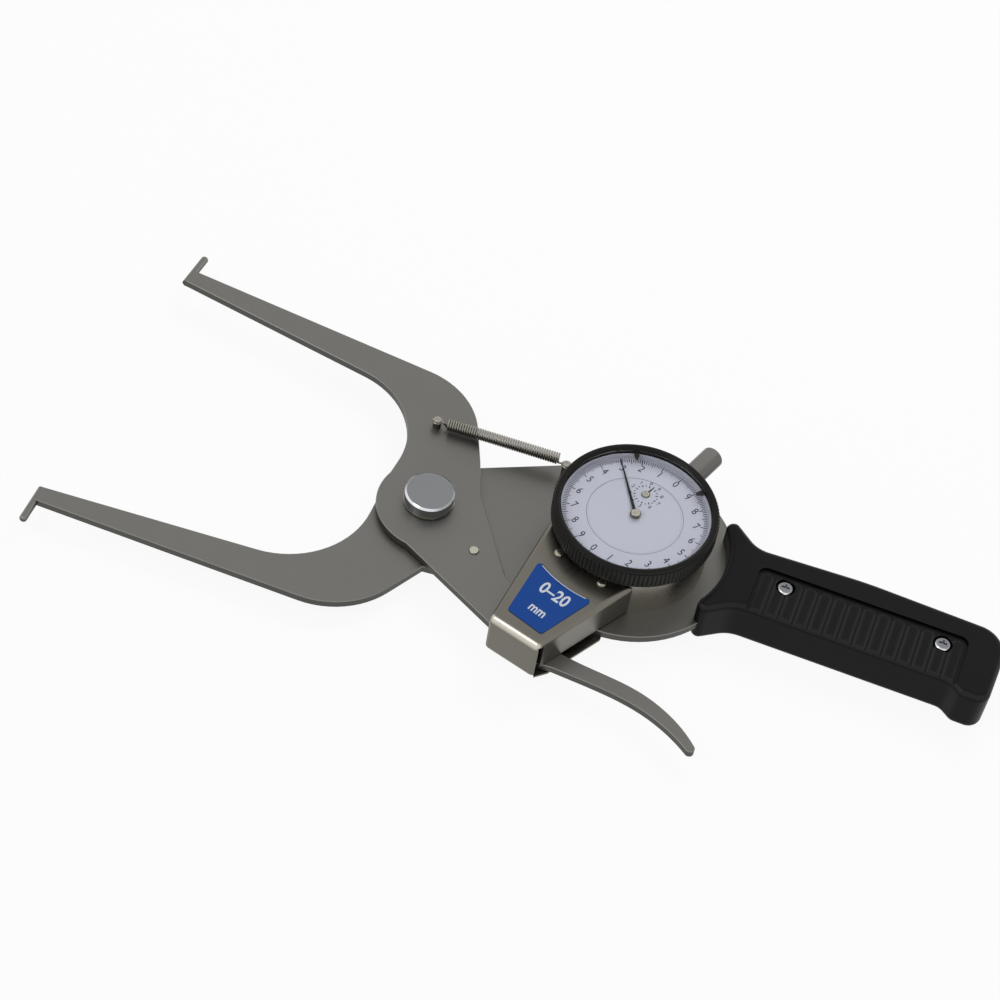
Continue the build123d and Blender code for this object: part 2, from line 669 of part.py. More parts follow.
def take_up_gear():
    """Second large gear, turned by the hairspring to take the play out of the pinion."""
    at = polar(-ARBOR_DISTANCE, ARBOR_ANGLE, DIAL)
    wheel = gear_outline(GEAR_TEETH, DRIVE_RADIUS, turn=ARBOR_ANGLE)
    arbor = bar(0.5, MOVEMENT_PLATE_BOTTOM + 0.1, BRIDGE_BOTTOM + 0.8, at)
    return slab(Pos(*at) * wheel, GEAR_BOTTOM, GEAR_TOP) + arbor


def hairspring():
    """Flat spiral above the take-up gear, drawn as half turns that grow by half a pitch each."""
    at = polar(-ARBOR_DISTANCE, ARBOR_ANGLE, DIAL)
    strip = Sketch()
    for half in range(HAIRSPRING_HALF_TURNS):
        radius = HAIRSPRING_START + half * HAIRSPRING_PITCH / 2
        centre = HAIRSPRING_PITCH / 2 * (half % 2)
        band = Circle(radius + HAIRSPRING_WIDTH / 2) - Circle(radius - HAIRSPRING_WIDTH / 2)
        side = Align.MAX if half % 2 else Align.MIN
        strip += Pos(centre, 0) * (band & Rectangle(40, 20, align=(Align.CENTER, side)))
    return slab(Pos(*at) * strip, GEAR_TOP + 0.3, BRIDGE_BOTTOM)


def movement_plate():
    """Lower plate of the movement, on the pillars of the case."""
    return bearing_plate(MOVEMENT_PLATE_BOTTOM)


def movement_bridge():
    """Upper plate of the movement, on four pillars of its own."""
    bridge = bearing_plate(BRIDGE_BOTTOM)
    return bridge + pillars(MOVEMENT_PLATE_BOTTOM + MOVEMENT_PLATE_THICKNESS, BRIDGE_BOTTOM)


def bearing_plate(bottom):
    """Cross-shaped plate with the bearing holes of the three arbors."""
    top = bottom + MOVEMENT_PLATE_THICKNESS
    shape = Circle(5.0)
    for angle in (20, 135, 200, 315):
        arm = Rot(0, 0, angle) * Pos(9.0, 0) * SlotOverall(24.0, 4.6)
        shape += arm
    for angle in (ARBOR_ANGLE, ARBOR_ANGLE + 180):
        shape += Rot(0, 0, angle) * Pos(5.5, 0) * SlotOverall(15.0, 4.2)
    plate = slab(Pos(*DIAL) * shape, bottom, top)
    plate -= bar(0.55, bottom - 1, top + 1, DIAL)
    plate -= bar(0.65, bottom - 1, top + 1, polar(ARBOR_DISTANCE, ARBOR_ANGLE, DIAL))
    return plate - bar(0.55, bottom - 1, top + 1, polar(-ARBOR_DISTANCE, ARBOR_ANGLE, DIAL))


def main_pointer():
    """Long tapered pointer with a round hub."""
    needle = Polygon((0, 0.7), (24.6, 0.15), (24.6, -0.15), (0, -0.7), align=None)
    blade = slab(Pos(*DIAL) * Rot(0, 0, POINTER_ANGLE) * needle, POINTER_HEIGHT, POINTER_HEIGHT + 0.25)
    hub = bar(1.9, POINTER_HEIGHT, POINTER_HEIGHT + 1.2, DIAL)
    hub = fillet(hub.edges().group_by(Axis.Z)[-1], 0.6)
    return blade + hub - bar(0.5, POINTER_HEIGHT - 1, POINTER_HEIGHT + 0.7, DIAL)


def counter_pointer():
    """Short pointer of the turn counter."""
    at = polar(ARBOR_DISTANCE, ARBOR_ANGLE, DIAL)
    needle = Polygon((0, 0.35), (4.6, 0.1), (4.6, -0.1), (0, -0.35), align=None)
    low = FACE_TOP + 0.15
    blade = slab(Pos(*at) * Rot(0, 0, COUNTER_POINTER_ANGLE) * needle, low, low + 0.2)
    hub = bar(1.5, low, low + 0.45, at)
    hub = fillet(hub.edges().group_by(Axis.Z)[-1], 0.3)
    return blade + hub - bar(0.6, FACE_TOP - 1, FACE_TOP + 0.5, at)


# Cover


def direction(start, end):
    """Angle of the line from start to end, in degrees."""
    return degrees(atan2(end[1] - start[1], end[0] - start[0]))


def left_of(start, end, gap):
    """Large flat piece on the left of the line from start to end, a gap away from it."""
    half_plane = Rectangle(200, 100, align=(Align.CENTER, Align.MIN))
    return Pos(*start) * Rot(0, 0, direction(start, end)) * Pos(0, gap) * half_plane


def middle(start, end, height):
    """Point halfway between two plan points, at a height."""
    return ((start[0] + end[0]) / 2, (start[1] + end[1]) / 2, height)


def cover_skin(inset):
    """Solid inside one skin of the bent sheet; inset 0 is the outer skin."""
    corners = [COVER_TOP_LEFT, COVER_END_LEFT, COVER_END_RIGHT, COVER_TOP_RIGHT, DIAL]
    plan = make_face(Polyline(corners, close=True))
    if inset:
        plan = offset(plan, -inset, kind=Kind.INTERSECTION)
    top, bottom = COVER_TOP - inset, FRAME_BOTTOM - SHEET + inset
    block = slab(plan, bottom, top)
    for height, radius in ((top, COVER_END_FOLD), (bottom, COVER_SIDE_FOLD)):
        edge = block.edges().sort_by_distance(middle(COVER_END_LEFT, COVER_END_RIGHT, height))[0]
        block = fillet(edge, radius + SHEET - inset)
    sides = [(COVER_TOP_LEFT, COVER_END_LEFT), (COVER_END_RIGHT, COVER_TOP_RIGHT)]
    edges = [block.edges().sort_by_distance(middle(*side, top))[0] for side in sides]
    return fillet(edges, COVER_SIDE_FOLD + SHEET - inset)


def cover_shell():
    """Bent sheet over the plunger: top, end wall, two side walls, and a tongue under the frame."""
    low, high = FRAME_BOTTOM - 5, COVER_TOP + 5
    end = (COVER_END_LEFT, COVER_END_RIGHT)
    shell = cover_skin(0) - cover_skin(SHEET)
    shell -= bar(COVER_CUT_RADIUS, low, high, DIAL)
    shell -= slab(left_of(*end, 4.0), low, COVER_RIGHT_FOOT)
    shell -= slab(left_of(*end, SHEET + COVER_SIDE_FOLD), FRAME_BOTTOM, COVER_RIGHT_FOOT)
    left_side = left_of(*end, SHEET + COVER_SIDE_FOLD) & left_of((COVER_MIDDLE_X, 0), (COVER_MIDDLE_X, 50), 0)
    shell -= slab(left_side, FRAME_BOTTOM, COVER_LEFT_FOOT)
    side_angle = direction(COVER_END_RIGHT, COVER_TOP_RIGHT)
    slit = polar(SHEET + CORNER_RELIEF, side_angle, polar(SHEET / 2, side_angle + 90, COVER_END_RIGHT))
    shell -= bar(CORNER_RELIEF, FRAME_BOTTOM, COVER_TOP - 1.6, slit)
    tongue = outline(*COVER_TONGUE)
    shell += slab(tongue, FRAME_BOTTOM - SHEET, FRAME_BOTTOM)
    for at in COVER_SCREWS:
        shell -= bar(COVER_SCREW_RADIUS, COVER_TOP - 2, COVER_TOP + 1, at)
    for at in TONGUE_SCREWS:
        shell -= bar(COVER_SCREW_RADIUS, FRAME_BOTTOM - 2, FRAME_BOTTOM + 1, at)
    return shell


def range_label():
    """Thin plate on the cover's top, hollowed along the dial."""
    plate = outline(*LABEL_CORNERS) - Pos(*DIAL) * Circle(LABEL_ARC_RADIUS)
    return slab(plate, COVER_TOP, COVER_TOP + LABEL_THICKNESS)


def cover_pillars():
    """Two round pillars, riveted in the frame, that carry the cover's top."""
    group = []
    for at in COVER_SCREWS:
        pillar = bar(PILLAR_RADIUS, FRAME_TOP, COVER_TOP - SHEET, at)
        pillar += bar(PILLAR_FOOT_RADIUS, FRAME_BOTTOM, FRAME_TOP, at)
        group.append(pillar - bar(COVER_SCREW_RADIUS, COVER_TOP - COVER_SCREW_LENGTH, COVER_TOP, at))
    return Compound(group)


def cover_screws():
    """Dome-headed screws: two in the pillars, two up into the frame."""
    group = []
    for at in COVER_SCREWS:
        head = bar(COVER_HEAD_RADIUS, COVER_TOP, COVER_TOP + COVER_HEAD_HEIGHT, at)
        head = fillet(head.edges().group_by(Axis.Z)[-1], 0.8 * COVER_HEAD_HEIGHT)
        group.append(head + bar(COVER_SCREW_RADIUS, COVER_TOP - COVER_SCREW_LENGTH, COVER_TOP, at))
    for at in TONGUE_SCREWS:
        bottom = FRAME_BOTTOM - SHEET
        group.append(bar(1.7, bottom - 0.9, bottom, at) + bar(COVER_SCREW_RADIUS, bottom, FRAME_TOP, at))
    return Compound(group)


# Trigger


def trigger_lever():
    """Curved finger lever under the tail, with a squared root and a round tip."""
    upper = Spline((64.8, -40.4), (78.0, -41.9), (92.0, -43.9), (100.5, -46.9), (115.2, -57.2))
    tip = ThreePointArc(upper @ 1, (115.2, -59.3), (113.1, -59.6))
    lower = Spline(tip @ 1, (105.6, -54.9), (94.3, -50.4), (79.5, -47.9), (62.0, -46.8))
    root = Polyline(lower @ 1, (57.0, -47.4), (48.6, -44.6), (48.6, -39.6), (56.5, -38.8), upper @ 0)
    shape = make_face([upper, tip, lower, root])
    for at in TRIGGER_RIVETS:
        shape -= Pos(*at) * Circle(TRIGGER_RIVET_RADIUS)
    return slab(shape, -JAW_THICKNESS - TRIGGER_THICKNESS, -JAW_THICKNESS)


def trigger_rivets():
    """Two flush rivets through the tail and the trigger's root."""
    bottom = -JAW_THICKNESS - TRIGGER_THICKNESS
    return Compound([bar(TRIGGER_RIVET_RADIUS, bottom, 0, at) for at in TRIGGER_RIVETS])


# Grip


def grip_outline():
    """Side view of the grip: two horns round the dial's disc, straight sides and a heel."""
    shape = outline(
        (92.0, 12.0, 0),
        (99.6, -4.2, 0),
        (94.6, -14.0, HORN_ROUNDING),
        (111.5, -2.0, 12),
        (186.5, -2.0, 5),
        (191.0, -5.4, 4),
        (200.6, -5.6, 5),
        (201.4, 12.0, 60),
        (200.8, 25.7, 10),
        (150.0, 27.2, 150),
        (111.5, 25.2, 10),
        (93.1, 40.1, HORN_ROUNDING),
        (99.5, 27.95, 0),
    )
    return shape - Pos(*DIAL) * Circle(GRIP_FRONT_RADIUS)


def grip_half(bottom, top, outer):
    """One half of the grip between two heights, rounded along its outer face, with the plate's pocket."""
    half = slab(grip_outline(), bottom, top)
    half = fillet(half.edges().group_by(Axis.Z)[outer], GRIP_EDGE_RADIUS)
    half -= slab(tang_outline() + Pos(*DIAL) * Circle(DISC_RADIUS), FRAME_BOTTOM, FRAME_TOP)
    for x in GRIP_SCREWS:
        half -= bar(GRIP_SCREW_RADIUS + SCREW_CLEARANCE, bottom - 1, top + 1, (x, GRIP_AXIS_Y))
    return half


def rib_panel():
    """What is cut from the front half: a shallow panel, open at the lower edge, less its rounded ribs."""
    width = RIB_COUNT * RIB_PITCH + 1.5
    height = PANEL_TOP_Y - PANEL_BOTTOM_Y
    centre = (RIB_START + (RIB_COUNT - 1) * RIB_PITCH / 2, (PANEL_TOP_Y + PANEL_BOTTOM_Y) / 2)
    floor = GRIP_TOP - PANEL_DEPTH
    panel = slab(Pos(*centre) * RectangleRounded(width, height, PANEL_CORNER), floor, GRIP_TOP + 1)
    length = RIB_TOP_Y - PANEL_BOTTOM_Y + PANEL_CORNER
    rib = Rot(90, 0, 0) * Cylinder(RIB_RADIUS, length, align=STANDING)
    rib = fillet(rib.edges().filter_by(GeomType.CIRCLE).sort_by(Axis.Y)[-1], RIB_RADIUS * 0.7)
    for index in range(RIB_COUNT):
        panel -= Pos(RIB_START + index * RIB_PITCH, RIB_TOP_Y, floor + RIB_HEIGHT - RIB_RADIUS) * rib
    return panel


def front_grip():
    """Front half, with a sunk panel of rounded ribs and a counterbore for each screw."""
    grip = grip_half(FRAME_MIDDLE, GRIP_TOP, -1) - rib_panel()
    for x in GRIP_SCREWS:
        grip -= bar(SCREW_HEAD_RADIUS + 0.5, GRIP_TOP - HEAD_SEAT_DEPTH, GRIP_TOP + 1, (x, GRIP_AXIS_Y))
    return grip


def rear_grip():
    """Rear half, with a flat back and a hexagon pocket for each nut."""
    grip = grip_half(GRIP_BOTTOM, FRAME_MIDDLE, 0)
    for x in GRIP_SCREWS:
        pocket = Pos(x, GRIP_AXIS_Y) * RegularPolygon(GRIP_NUT_FLATS / 2, 6, major_radius=False)
        grip -= slab(pocket, GRIP_BOTTOM - 1, GRIP_BOTTOM + NUT_POCKET_DEPTH)
    return grip


def grip_screws():
    """Pan-head screws with a cross recess, from the front into the nuts."""
    group = []
    for x in GRIP_SCREWS:
        at = (x, GRIP_AXIS_Y)
        seat = GRIP_TOP - HEAD_SEAT_DEPTH
        head = bar(SCREW_HEAD_RADIUS, seat, seat + SCREW_HEAD_HEIGHT, at)
        head = fillet(head.edges().group_by(Axis.Z)[-1], 1.2)
        cross = Rectangle(CROSS_LENGTH, CROSS_WIDTH) + Rectangle(CROSS_WIDTH, CROSS_LENGTH)
        head -= slab(Pos(*at) * cross, seat + 1.2, GRIP_TOP + 1)
        group.append(head + bar(GRIP_SCREW_RADIUS, GRIP_BOTTOM + 0.6, seat, at))
    return Compound(group)


def grip_nuts():
    """Hexagon nuts sunk in the back of the grip."""
    group = []
    for x in GRIP_SCREWS:
        nut = RegularPolygon(GRIP_NUT_FLATS / 2, 6, major_radius=False) - Circle(GRIP_SCREW_RADIUS)
        group.append(slab(Pos(x, GRIP_AXIS_Y) * nut, GRIP_BOTTOM + 0.4, GRIP_BOTTOM + NUT_POCKET_DEPTH))
    return Compound(group)


PIECES = [
    frame_plate,
    fixed_contact_pin,
    pivot_shaft,
    pivot_cap,
    pivot_washers,
    pivot_nut,
    return_spring,
    spring_anchor_post,
    dial_case,
    case_screws,
    stem,
    dust_cap,
    plunger_guide,
    movement_plate,
    movement_bridge,
    hairspring,
    counter_face,
    plunger_spring,
    cover_shell,
    cover_pillars,
    cover_screws,
    range_label,
    front_grip,
    rear_grip,
    grip_screws,
    grip_nuts,
    moving_jaw,
    moving_contact_pin,
    spring_post,
    stop_rivet,
    trigger_lever,
    trigger_rivets,
    plunger_anvil,
    plunger_spindle,
    plunger_guide_pin,
    contact_point,
    rack_pinion,
    drive_gear,
    counter_pointer,
    centre_pinion,
    main_pointer,
    take_up_gear,
    bezel_ring,
    crystal,
    dial_face,
    tolerance_marker_a,
    tolerance_marker_b,
]


def build_pieces():
    """Every piece by name, as it was modelled round the pivot."""
    return {piece.__name__: piece() for piece in PIECES}


def resting_origin(pieces):
    """Point under the middle of the whole gauge, at the height that it rests on."""
    box = Compound(list(pieces.values())).bounding_box()
    return Vector(box.center().X, box.center().Y, box.min.Z)


def main():
    os.makedirs("parts", exist_ok=True)
    pieces = build_pieces()
    to_origin = Pos(-resting_origin(pieces))
    for name, shape in pieces.items():
        export_step(to_origin * shape, f"parts/{name}.step")


if __name__ == "__main__":
    main()
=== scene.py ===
import json
import logging
import math
from dataclasses import dataclass, field
from enum import Enum

import bmesh
import bpy
import numpy as np
from mathutils import Matrix, Vector


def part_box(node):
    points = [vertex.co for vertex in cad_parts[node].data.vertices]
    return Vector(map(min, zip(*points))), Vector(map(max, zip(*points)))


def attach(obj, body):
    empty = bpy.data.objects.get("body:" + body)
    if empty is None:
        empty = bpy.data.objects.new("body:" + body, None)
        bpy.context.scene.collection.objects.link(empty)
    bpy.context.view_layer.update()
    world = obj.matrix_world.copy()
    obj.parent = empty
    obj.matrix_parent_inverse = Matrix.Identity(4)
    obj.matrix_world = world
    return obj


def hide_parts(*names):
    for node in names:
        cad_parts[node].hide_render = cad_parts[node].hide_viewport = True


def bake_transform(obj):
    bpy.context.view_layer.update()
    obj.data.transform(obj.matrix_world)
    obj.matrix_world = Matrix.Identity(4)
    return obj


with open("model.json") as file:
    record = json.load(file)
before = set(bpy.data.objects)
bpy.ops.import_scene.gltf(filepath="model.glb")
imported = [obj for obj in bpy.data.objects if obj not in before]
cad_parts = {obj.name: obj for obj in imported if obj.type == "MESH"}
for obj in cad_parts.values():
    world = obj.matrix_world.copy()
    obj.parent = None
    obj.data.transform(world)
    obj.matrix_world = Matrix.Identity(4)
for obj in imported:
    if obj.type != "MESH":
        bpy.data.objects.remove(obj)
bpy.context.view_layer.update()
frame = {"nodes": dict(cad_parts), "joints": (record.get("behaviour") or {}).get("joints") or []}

# Looks of an internal dial caliper gauge. Sizes are millimetres in the part's own working frame:
# the pivot axis is x = 0, y = 0, the grip lies along +X, and z = 0 is the top of the moving jaw.
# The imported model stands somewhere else, so every mesh is carried there as it is made.

MM = 0.001
PIVOT = next(joint for joint in frame["joints"] if joint["name"] == "jaw_pivot")["pos_m"]
WORK_ORIGIN = np.array([PIVOT[0], PIVOT[1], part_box("moving_jaw")[1].z])

# Points closer than this, in metres, are merged, and edges sharper than this are shaded sharp.
MERGE_DISTANCE = 1e-6
SHARP_ANGLE = math.radians(32)
# A face belongs to a plate's upper side, and is shaded flat, from these heights of its normal on.
UPWARD, FLAT = 0.9, 0.99
# Steps round a large turned piece, a hub and a small head.
LARGE_TURN, HUB_TURN, SMALL_TURN = 128, 48, 40

# Painted highlight: edges are painted lightest towards this direction in plan, the label's side and a little
# away from the grip, as if the light came from there.
PAINTED_LIGHT_DIRECTION = (-0.32, -0.95, 0.0)
# Where that painted highlight sets in, by how far a normal leans towards it, and where the painted tone of a
# side becomes an edge's and an edge's a flat's, by the height of the normal.
PAINTED_LIGHT_RANGE, PAINTED_SIDE_RANGE, PAINTED_TOP_RANGE = (0.2, 0.55), (0.1, 0.6), (0.8, 0.98)
# Noise: its finer levels in the grain and in the clouds, the grain's share where both are mixed, the range
# that nearly all its values lie in, and the strength of its bump.
GRAIN_DETAIL, CLOUD_DETAIL, GRAIN_SHARE = 3.0, 2.0, 0.5
NOISE_LOW, NOISE_HIGH = 0.3, 0.7
BUMP_STRENGTH = 0.6

log = logging.getLogger("gauge")


class Body(Enum):
    """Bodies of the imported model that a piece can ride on."""

    FRAME = "frame"
    JAW = "jaw"
    COUNTER = "counter"
    POINTER = "pointer"
    BEZEL = "bezel"


class Slot(Enum):
    """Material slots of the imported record."""

    PLATE_STEEL = "plate_steel"
    BRIGHT_STEEL = "bright_steel"
    SPRING_STEEL = "spring_steel"
    SHEET_STEEL = "sheet_steel"
    NICKEL = "nickel"
    BRASS = "brass"
    BLACK_ENAMEL = "black_enamel"
    FACE_ENAMEL = "face_enamel"
    LABEL_BLUE = "label_blue"
    CRYSTAL_CLEAR = "crystal_clear"
    GRIP_PLASTIC = "grip_plastic"


def linear(colour: str) -> tuple[float, float, float, float]:
    """Turns an sRGB colour into Blender's linear one.

    Args:
        colour: six hex digits after a # mark.

    Returns:
        Linear red, green, blue and an alpha of 1.
    """
    parts = np.array([int(colour[start : start + 2], 16) for start in (1, 3, 5)]) / 255
    values = np.where(parts <= 0.04045, parts / 12.92, ((parts + 0.055) / 1.055) ** 2.4)
    return (*values.tolist(), 1.0)


def per_metre(size_mm: float) -> float:
    """Scale of a pattern on Object coordinates whose features are size_mm apart."""
    return 1 / (size_mm * MM)


def packed(point: tuple[float, ...] | np.ndarray) -> Vector:
    """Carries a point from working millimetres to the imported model's metres."""
    return Vector(np.array(point) * MM + WORK_ORIGIN)


def add_object(name: str, data: bpy.types.ID) -> bpy.types.Object:
    """Makes an object and puts it in the scene.

    Args:
        name: its name.
        data: its mesh, curve, camera or light.

    Returns:
        The new object, at the origin.
    """
    made = bpy.data.objects.new(name, data)
    bpy.context.scene.collection.objects.link(made)
    return made


def bare_tree(owner: bpy.types.Material | bpy.types.World) -> bpy.types.NodeTree:
    """Turns on the nodes of a material or world and clears them.

    Args:
        owner: the material or world.

    Returns:
        Its empty node tree.
    """
    owner.use_nodes = True
    owner.node_tree.nodes.clear()
    return owner.node_tree


def add_node(
    tree: bpy.types.NodeTree, kind: str, sockets: dict | None = None, **settings: object
) -> bpy.types.Node:
    """Adds one node to a tree.

    Args:
        tree: node tree that gets the node.
        kind: the node's Blender type.
        sockets: value, or output socket to link, for each named or numbered input.
        **settings: properties of the node itself.

    Returns:
        The new node.
    """
    node = tree.nodes.new(kind)
    for name, value in settings.items():
        setattr(node, name, value)
    for name, value in (sockets or {}).items():
        if isinstance(value, bpy.types.NodeSocket):
            tree.links.new(value, node.inputs[name])
        else:
            node.inputs[name].default_value = value
    return node


@dataclass(frozen=True)
class Finish:
    """One real surface: its colour, gloss and the patterns that break it up, and the light and shade painted
    on its flats, edges and sides.

    Attributes:
        name: what the surface is and how it was made.
        slot: the record's slot that it belongs to.
        colour: sRGB colour where the surface is lighter.
        shade: sRGB colour where it is darker.
        metallic: 1 for bare metal, 0 for paint and plastic.
        roughness: typical roughness.
        roughness_spread: how far the roughness wanders either way.
        grain_mm: size of the fine grain that the bump shows.
        grain_depth_mm: height of that grain.
        cloud_mm: size of the slow changes of colour and gloss.
        stretch: how many times longer the grain is along each axis.
        turn: turn of the stretched grain about Z, in degrees.
        specular: how strongly a surface that isn't metal mirrors, 0.5 being plain plastic.
        flat: how light the flats are painted, against the colour: painted shade below 1.
        edge: how light the edges are painted: a painted highlight above 1, painted shade below.
        side: how light the upright sides are painted: painted shade below 1, painted light above.
        away: share of an edge's painted light kept where it doesn't lean towards PAINTED_LIGHT_DIRECTION.
    """

    name: str
    slot: Slot
    colour: str
    shade: str
    metallic: float = 1.0
    roughness: float = 0.4
    roughness_spread: float = 0.05
    grain_mm: float = 0.5
    grain_depth_mm: float = 0.01
    cloud_mm: float = 14.0
    stretch: tuple[float, float, float] = (1.0, 1.0, 1.0)
    turn: float = 0.0
    specular: float = 0.5
    flat: float = 1.0
    edge: float = 1.0
    side: float = 1.0
    away: float = 1.0

    def material(self) -> bpy.types.Material:
        """Makes the material once and hands the same one out again.

        Returns:
            A node material: slow clouds steer colour and roughness, fine grain is a bump.
        """
        known = bpy.data.materials.get(self.name)
        if known:
            return known
        material = bpy.data.materials.new(self.name)
        tree = bare_tree(material)
        coords = add_node(tree, "ShaderNodeTexCoord").outputs["Object"]
        along_grain = coords
        for change in (
            {"Rotation": (0, 0, math.radians(self.turn))},
            {"Scale": tuple(1 / times for times in self.stretch)},
        ):
            mapping = add_node(tree, "ShaderNodeMapping", {"Vector": along_grain, **change})
            along_grain = mapping.outputs["Vector"]
        grain, cloud = (
            add_node(
                tree, "ShaderNodeTexNoise", {"Vector": space, "Scale": per_metre(size), "Detail": detail}
            ).outputs["Fac"]
            for space, size, detail in (
                (along_grain, self.grain_mm, GRAIN_DETAIL),
                (coords, self.cloud_mm, CLOUD_DETAIL),
            )
        )
        both = add_node(
            tree, "ShaderNodeMix", {0: GRAIN_SHARE, 2: cloud, 3: grain}, data_type="FLOAT"
        ).outputs[0]
        tint = add_node(
            tree, "ShaderNodeMix", {0: both, 6: linear(self.shade), 7: linear(self.colour)}, data_type="RGBA"
        ).outputs[2]
        # Painted light and shade by the normal, for every finish whose flat, edge or side tone isn't 1.
        if (self.flat, self.edge, self.side) != (1.0, 1.0, 1.0):
            tint = self.painted_shading(tree, tint)
        gloss = add_node(
            tree,
            "ShaderNodeMapRange",
            {
                "Value": both,
                "From Min": NOISE_LOW,
                "From Max": NOISE_HIGH,
                "To Min": self.roughness - self.roughness_spread,
                "To Max": self.roughness + self.roughness_spread,
            },
        ).outputs["Result"]
        bump = add_node(
            tree,
            "ShaderNodeBump",
            {"Height": grain, "Strength": BUMP_STRENGTH, "Distance": self.grain_depth_mm * MM},
        ).outputs["Normal"]
        shader = add_node(
            tree,
            "ShaderNodeBsdfPrincipled",
            {
                "Base Color": tint,
                "Metallic": self.metallic,
                "Roughness": gloss,
                "Normal": bump,
                "Specular IOR Level": self.specular,
            },
        )
        self.finish_tree(tree, shader)
        return material

    def painted_shading(self, tree: bpy.types.NodeTree, tint: bpy.types.NodeSocket) -> bpy.types.NodeSocket:
        """Paints light and shade by the normal: as the normal rises, the painted tone goes from side to edge
        over PAINTED_SIDE_RANGE, and from edge to flat over PAINTED_TOP_RANGE. An edge gets a painted
        highlight where its normal leans towards PAINTED_LIGHT_DIRECTION, as if the light came from there.

        Args:
            tree: the material's node tree.
            tint: colour before the change.

        Returns:
            Colour after it.
        """
        normal = add_node(tree, "ShaderNodeNewGeometry").outputs["Normal"]
        height = add_node(tree, "ShaderNodeSeparateXYZ", {0: normal}).outputs["Z"]
        steep = add_node(tree, "ShaderNodeMath", {0: height}, operation="ABSOLUTE").outputs[0]
        lean = add_node(
            tree, "ShaderNodeVectorMath", {0: normal, 1: PAINTED_LIGHT_DIRECTION}, operation="DOT_PRODUCT"
        ).outputs["Value"]
        towards, from_side, to_flat = (
            add_node(
                tree,
                "ShaderNodeMapRange",
                {"Value": value, "From Min": start, "From Max": end},
                interpolation_type="SMOOTHSTEP",
            ).outputs["Result"]
            for value, (start, end) in ((lean, PAINTED_LIGHT_RANGE), (steep, PAINTED_SIDE_RANGE), (steep, PAINTED_TOP_RANGE))
        )
        tone = self.edge * self.away
        for share, target in ((towards, self.edge), (from_side, None), (to_flat, self.flat)):
            ends = {2: tone, 3: target} if target is not None else {2: self.side, 3: tone}
            tone = add_node(tree, "ShaderNodeMix", {0: share, **ends}, data_type="FLOAT").outputs[0]
        return add_node(
            tree, "ShaderNodeMix", {0: 1.0, 6: tint, 7: tone}, data_type="RGBA", blend_type="MULTIPLY"
        ).outputs[2]

    def finish_tree(self, tree: bpy.types.NodeTree, shader: bpy.types.Node) -> None:
        """Sends the shader to the output."""
        add_node(tree, "ShaderNodeOutputMaterial", {"Surface": shader.outputs["BSDF"]})


@dataclass(frozen=True)
class ClearFinish(Finish):
    """Clear plastic that lets the lamps' light through to the face below it.

    Attributes:
        index: index of refraction. It is lower than the real 1.49, as the room around the gauge is white
            and the real index would lay a veil over the face.
    """

    index: float = 1.15

    def finish_tree(self, tree: bpy.types.NodeTree, shader: bpy.types.Node) -> None:
        """Makes the shader clear, and see-through for shadow rays.

        Args:
            tree: the material's node tree.
            shader: its Principled node.
        """
        shader.inputs["Transmission Weight"].default_value = 1.0
        shader.inputs["IOR"].default_value = self.index
        shadow = add_node(tree, "ShaderNodeLightPath").outputs["Is Shadow Ray"]
        through = add_node(tree, "ShaderNodeBsdfTransparent").outputs["BSDF"]
        mixed = add_node(tree, "ShaderNodeMixShader", {0: shadow, 1: shader.outputs["BSDF"], 2: through})
        add_node(tree, "ShaderNodeOutputMaterial", {"Surface": mixed.outputs["Shader"]})


# Blasted and satin chromed plate: an even mid grey with a fine sparkle; the broken edges carry a painted
# highlight and the upright sides painted shade.
PLATE = Finish(
    "blasted_satin_chromed_steel", Slot.PLATE_STEEL, "#7A7975", "#6D6C68", roughness=0.42, grain_mm=0.5,
    grain_depth_mm=0.014, edge=1.3, side=0.5,
)
# Turned and chromed: a clean mirror; the ground top is painted darker, to a soft blue grey, and the rim
# gets a painted highlight towards PAINTED_LIGHT_DIRECTION, with painted shade on its other sides.
CHROME = Finish(
    "turned_chromed_steel", Slot.BRIGHT_STEEL, "#D2D4D8", "#C8CACE", roughness=0.14, grain_depth_mm=0.002,
    flat=0.36, edge=1.2, side=0.45, away=0.45,
)
# Drawn music wire with a nickel flash: grey, softly glossy, with painted shade on its rounded edges
# and upright sides.
WIRE = Finish(
    "drawn_spring_wire", Slot.SPRING_STEEL, "#ADA99F", "#8E8A81", roughness=0.28, grain_depth_mm=0.004,
    edge=0.75, side=0.3,
)
# Brushed stainless sheet: fine lines along the bend, a faint warm tint, and a strong painted highlight on the
# folds that lean towards PAINTED_LIGHT_DIRECTION. Real lines are 0.05 mm apart, too fine to show, so they are
# drawn 0.35 mm apart.
SHEET = Finish(
    "brushed_stainless_sheet", Slot.SHEET_STEEL, "#77746D", "#68645C", roughness=0.3,
    grain_mm=0.35, grain_depth_mm=0.003, stretch=(1.0, 30.0, 30.0), turn=15.5, edge=3.6, side=1.05, away=0.3,
)
# Turned and nickel plated drum: rings of tool marks round the axis. Its colour is painted lighter than the
# dust cap's, as painted light against the shade under the bezel.
NICKEL = Finish(
    "turned_nickel_plate", Slot.NICKEL, "#B3AEA4", "#9B968D", roughness=0.3, grain_mm=0.3,
    stretch=(40.0, 40.0, 1.0),
)
# Turned steel of the dust cap: satin with a fine grain, with painted shade on its edges and sides, so it is
# lightest where it faces up.
TURNED = Finish(
    "turned_satin_steel", Slot.NICKEL, "#7E7C78", "#6B6965", roughness=0.3, grain_mm=0.3,
    grain_depth_mm=0.004, edge=0.75, side=0.3,
)
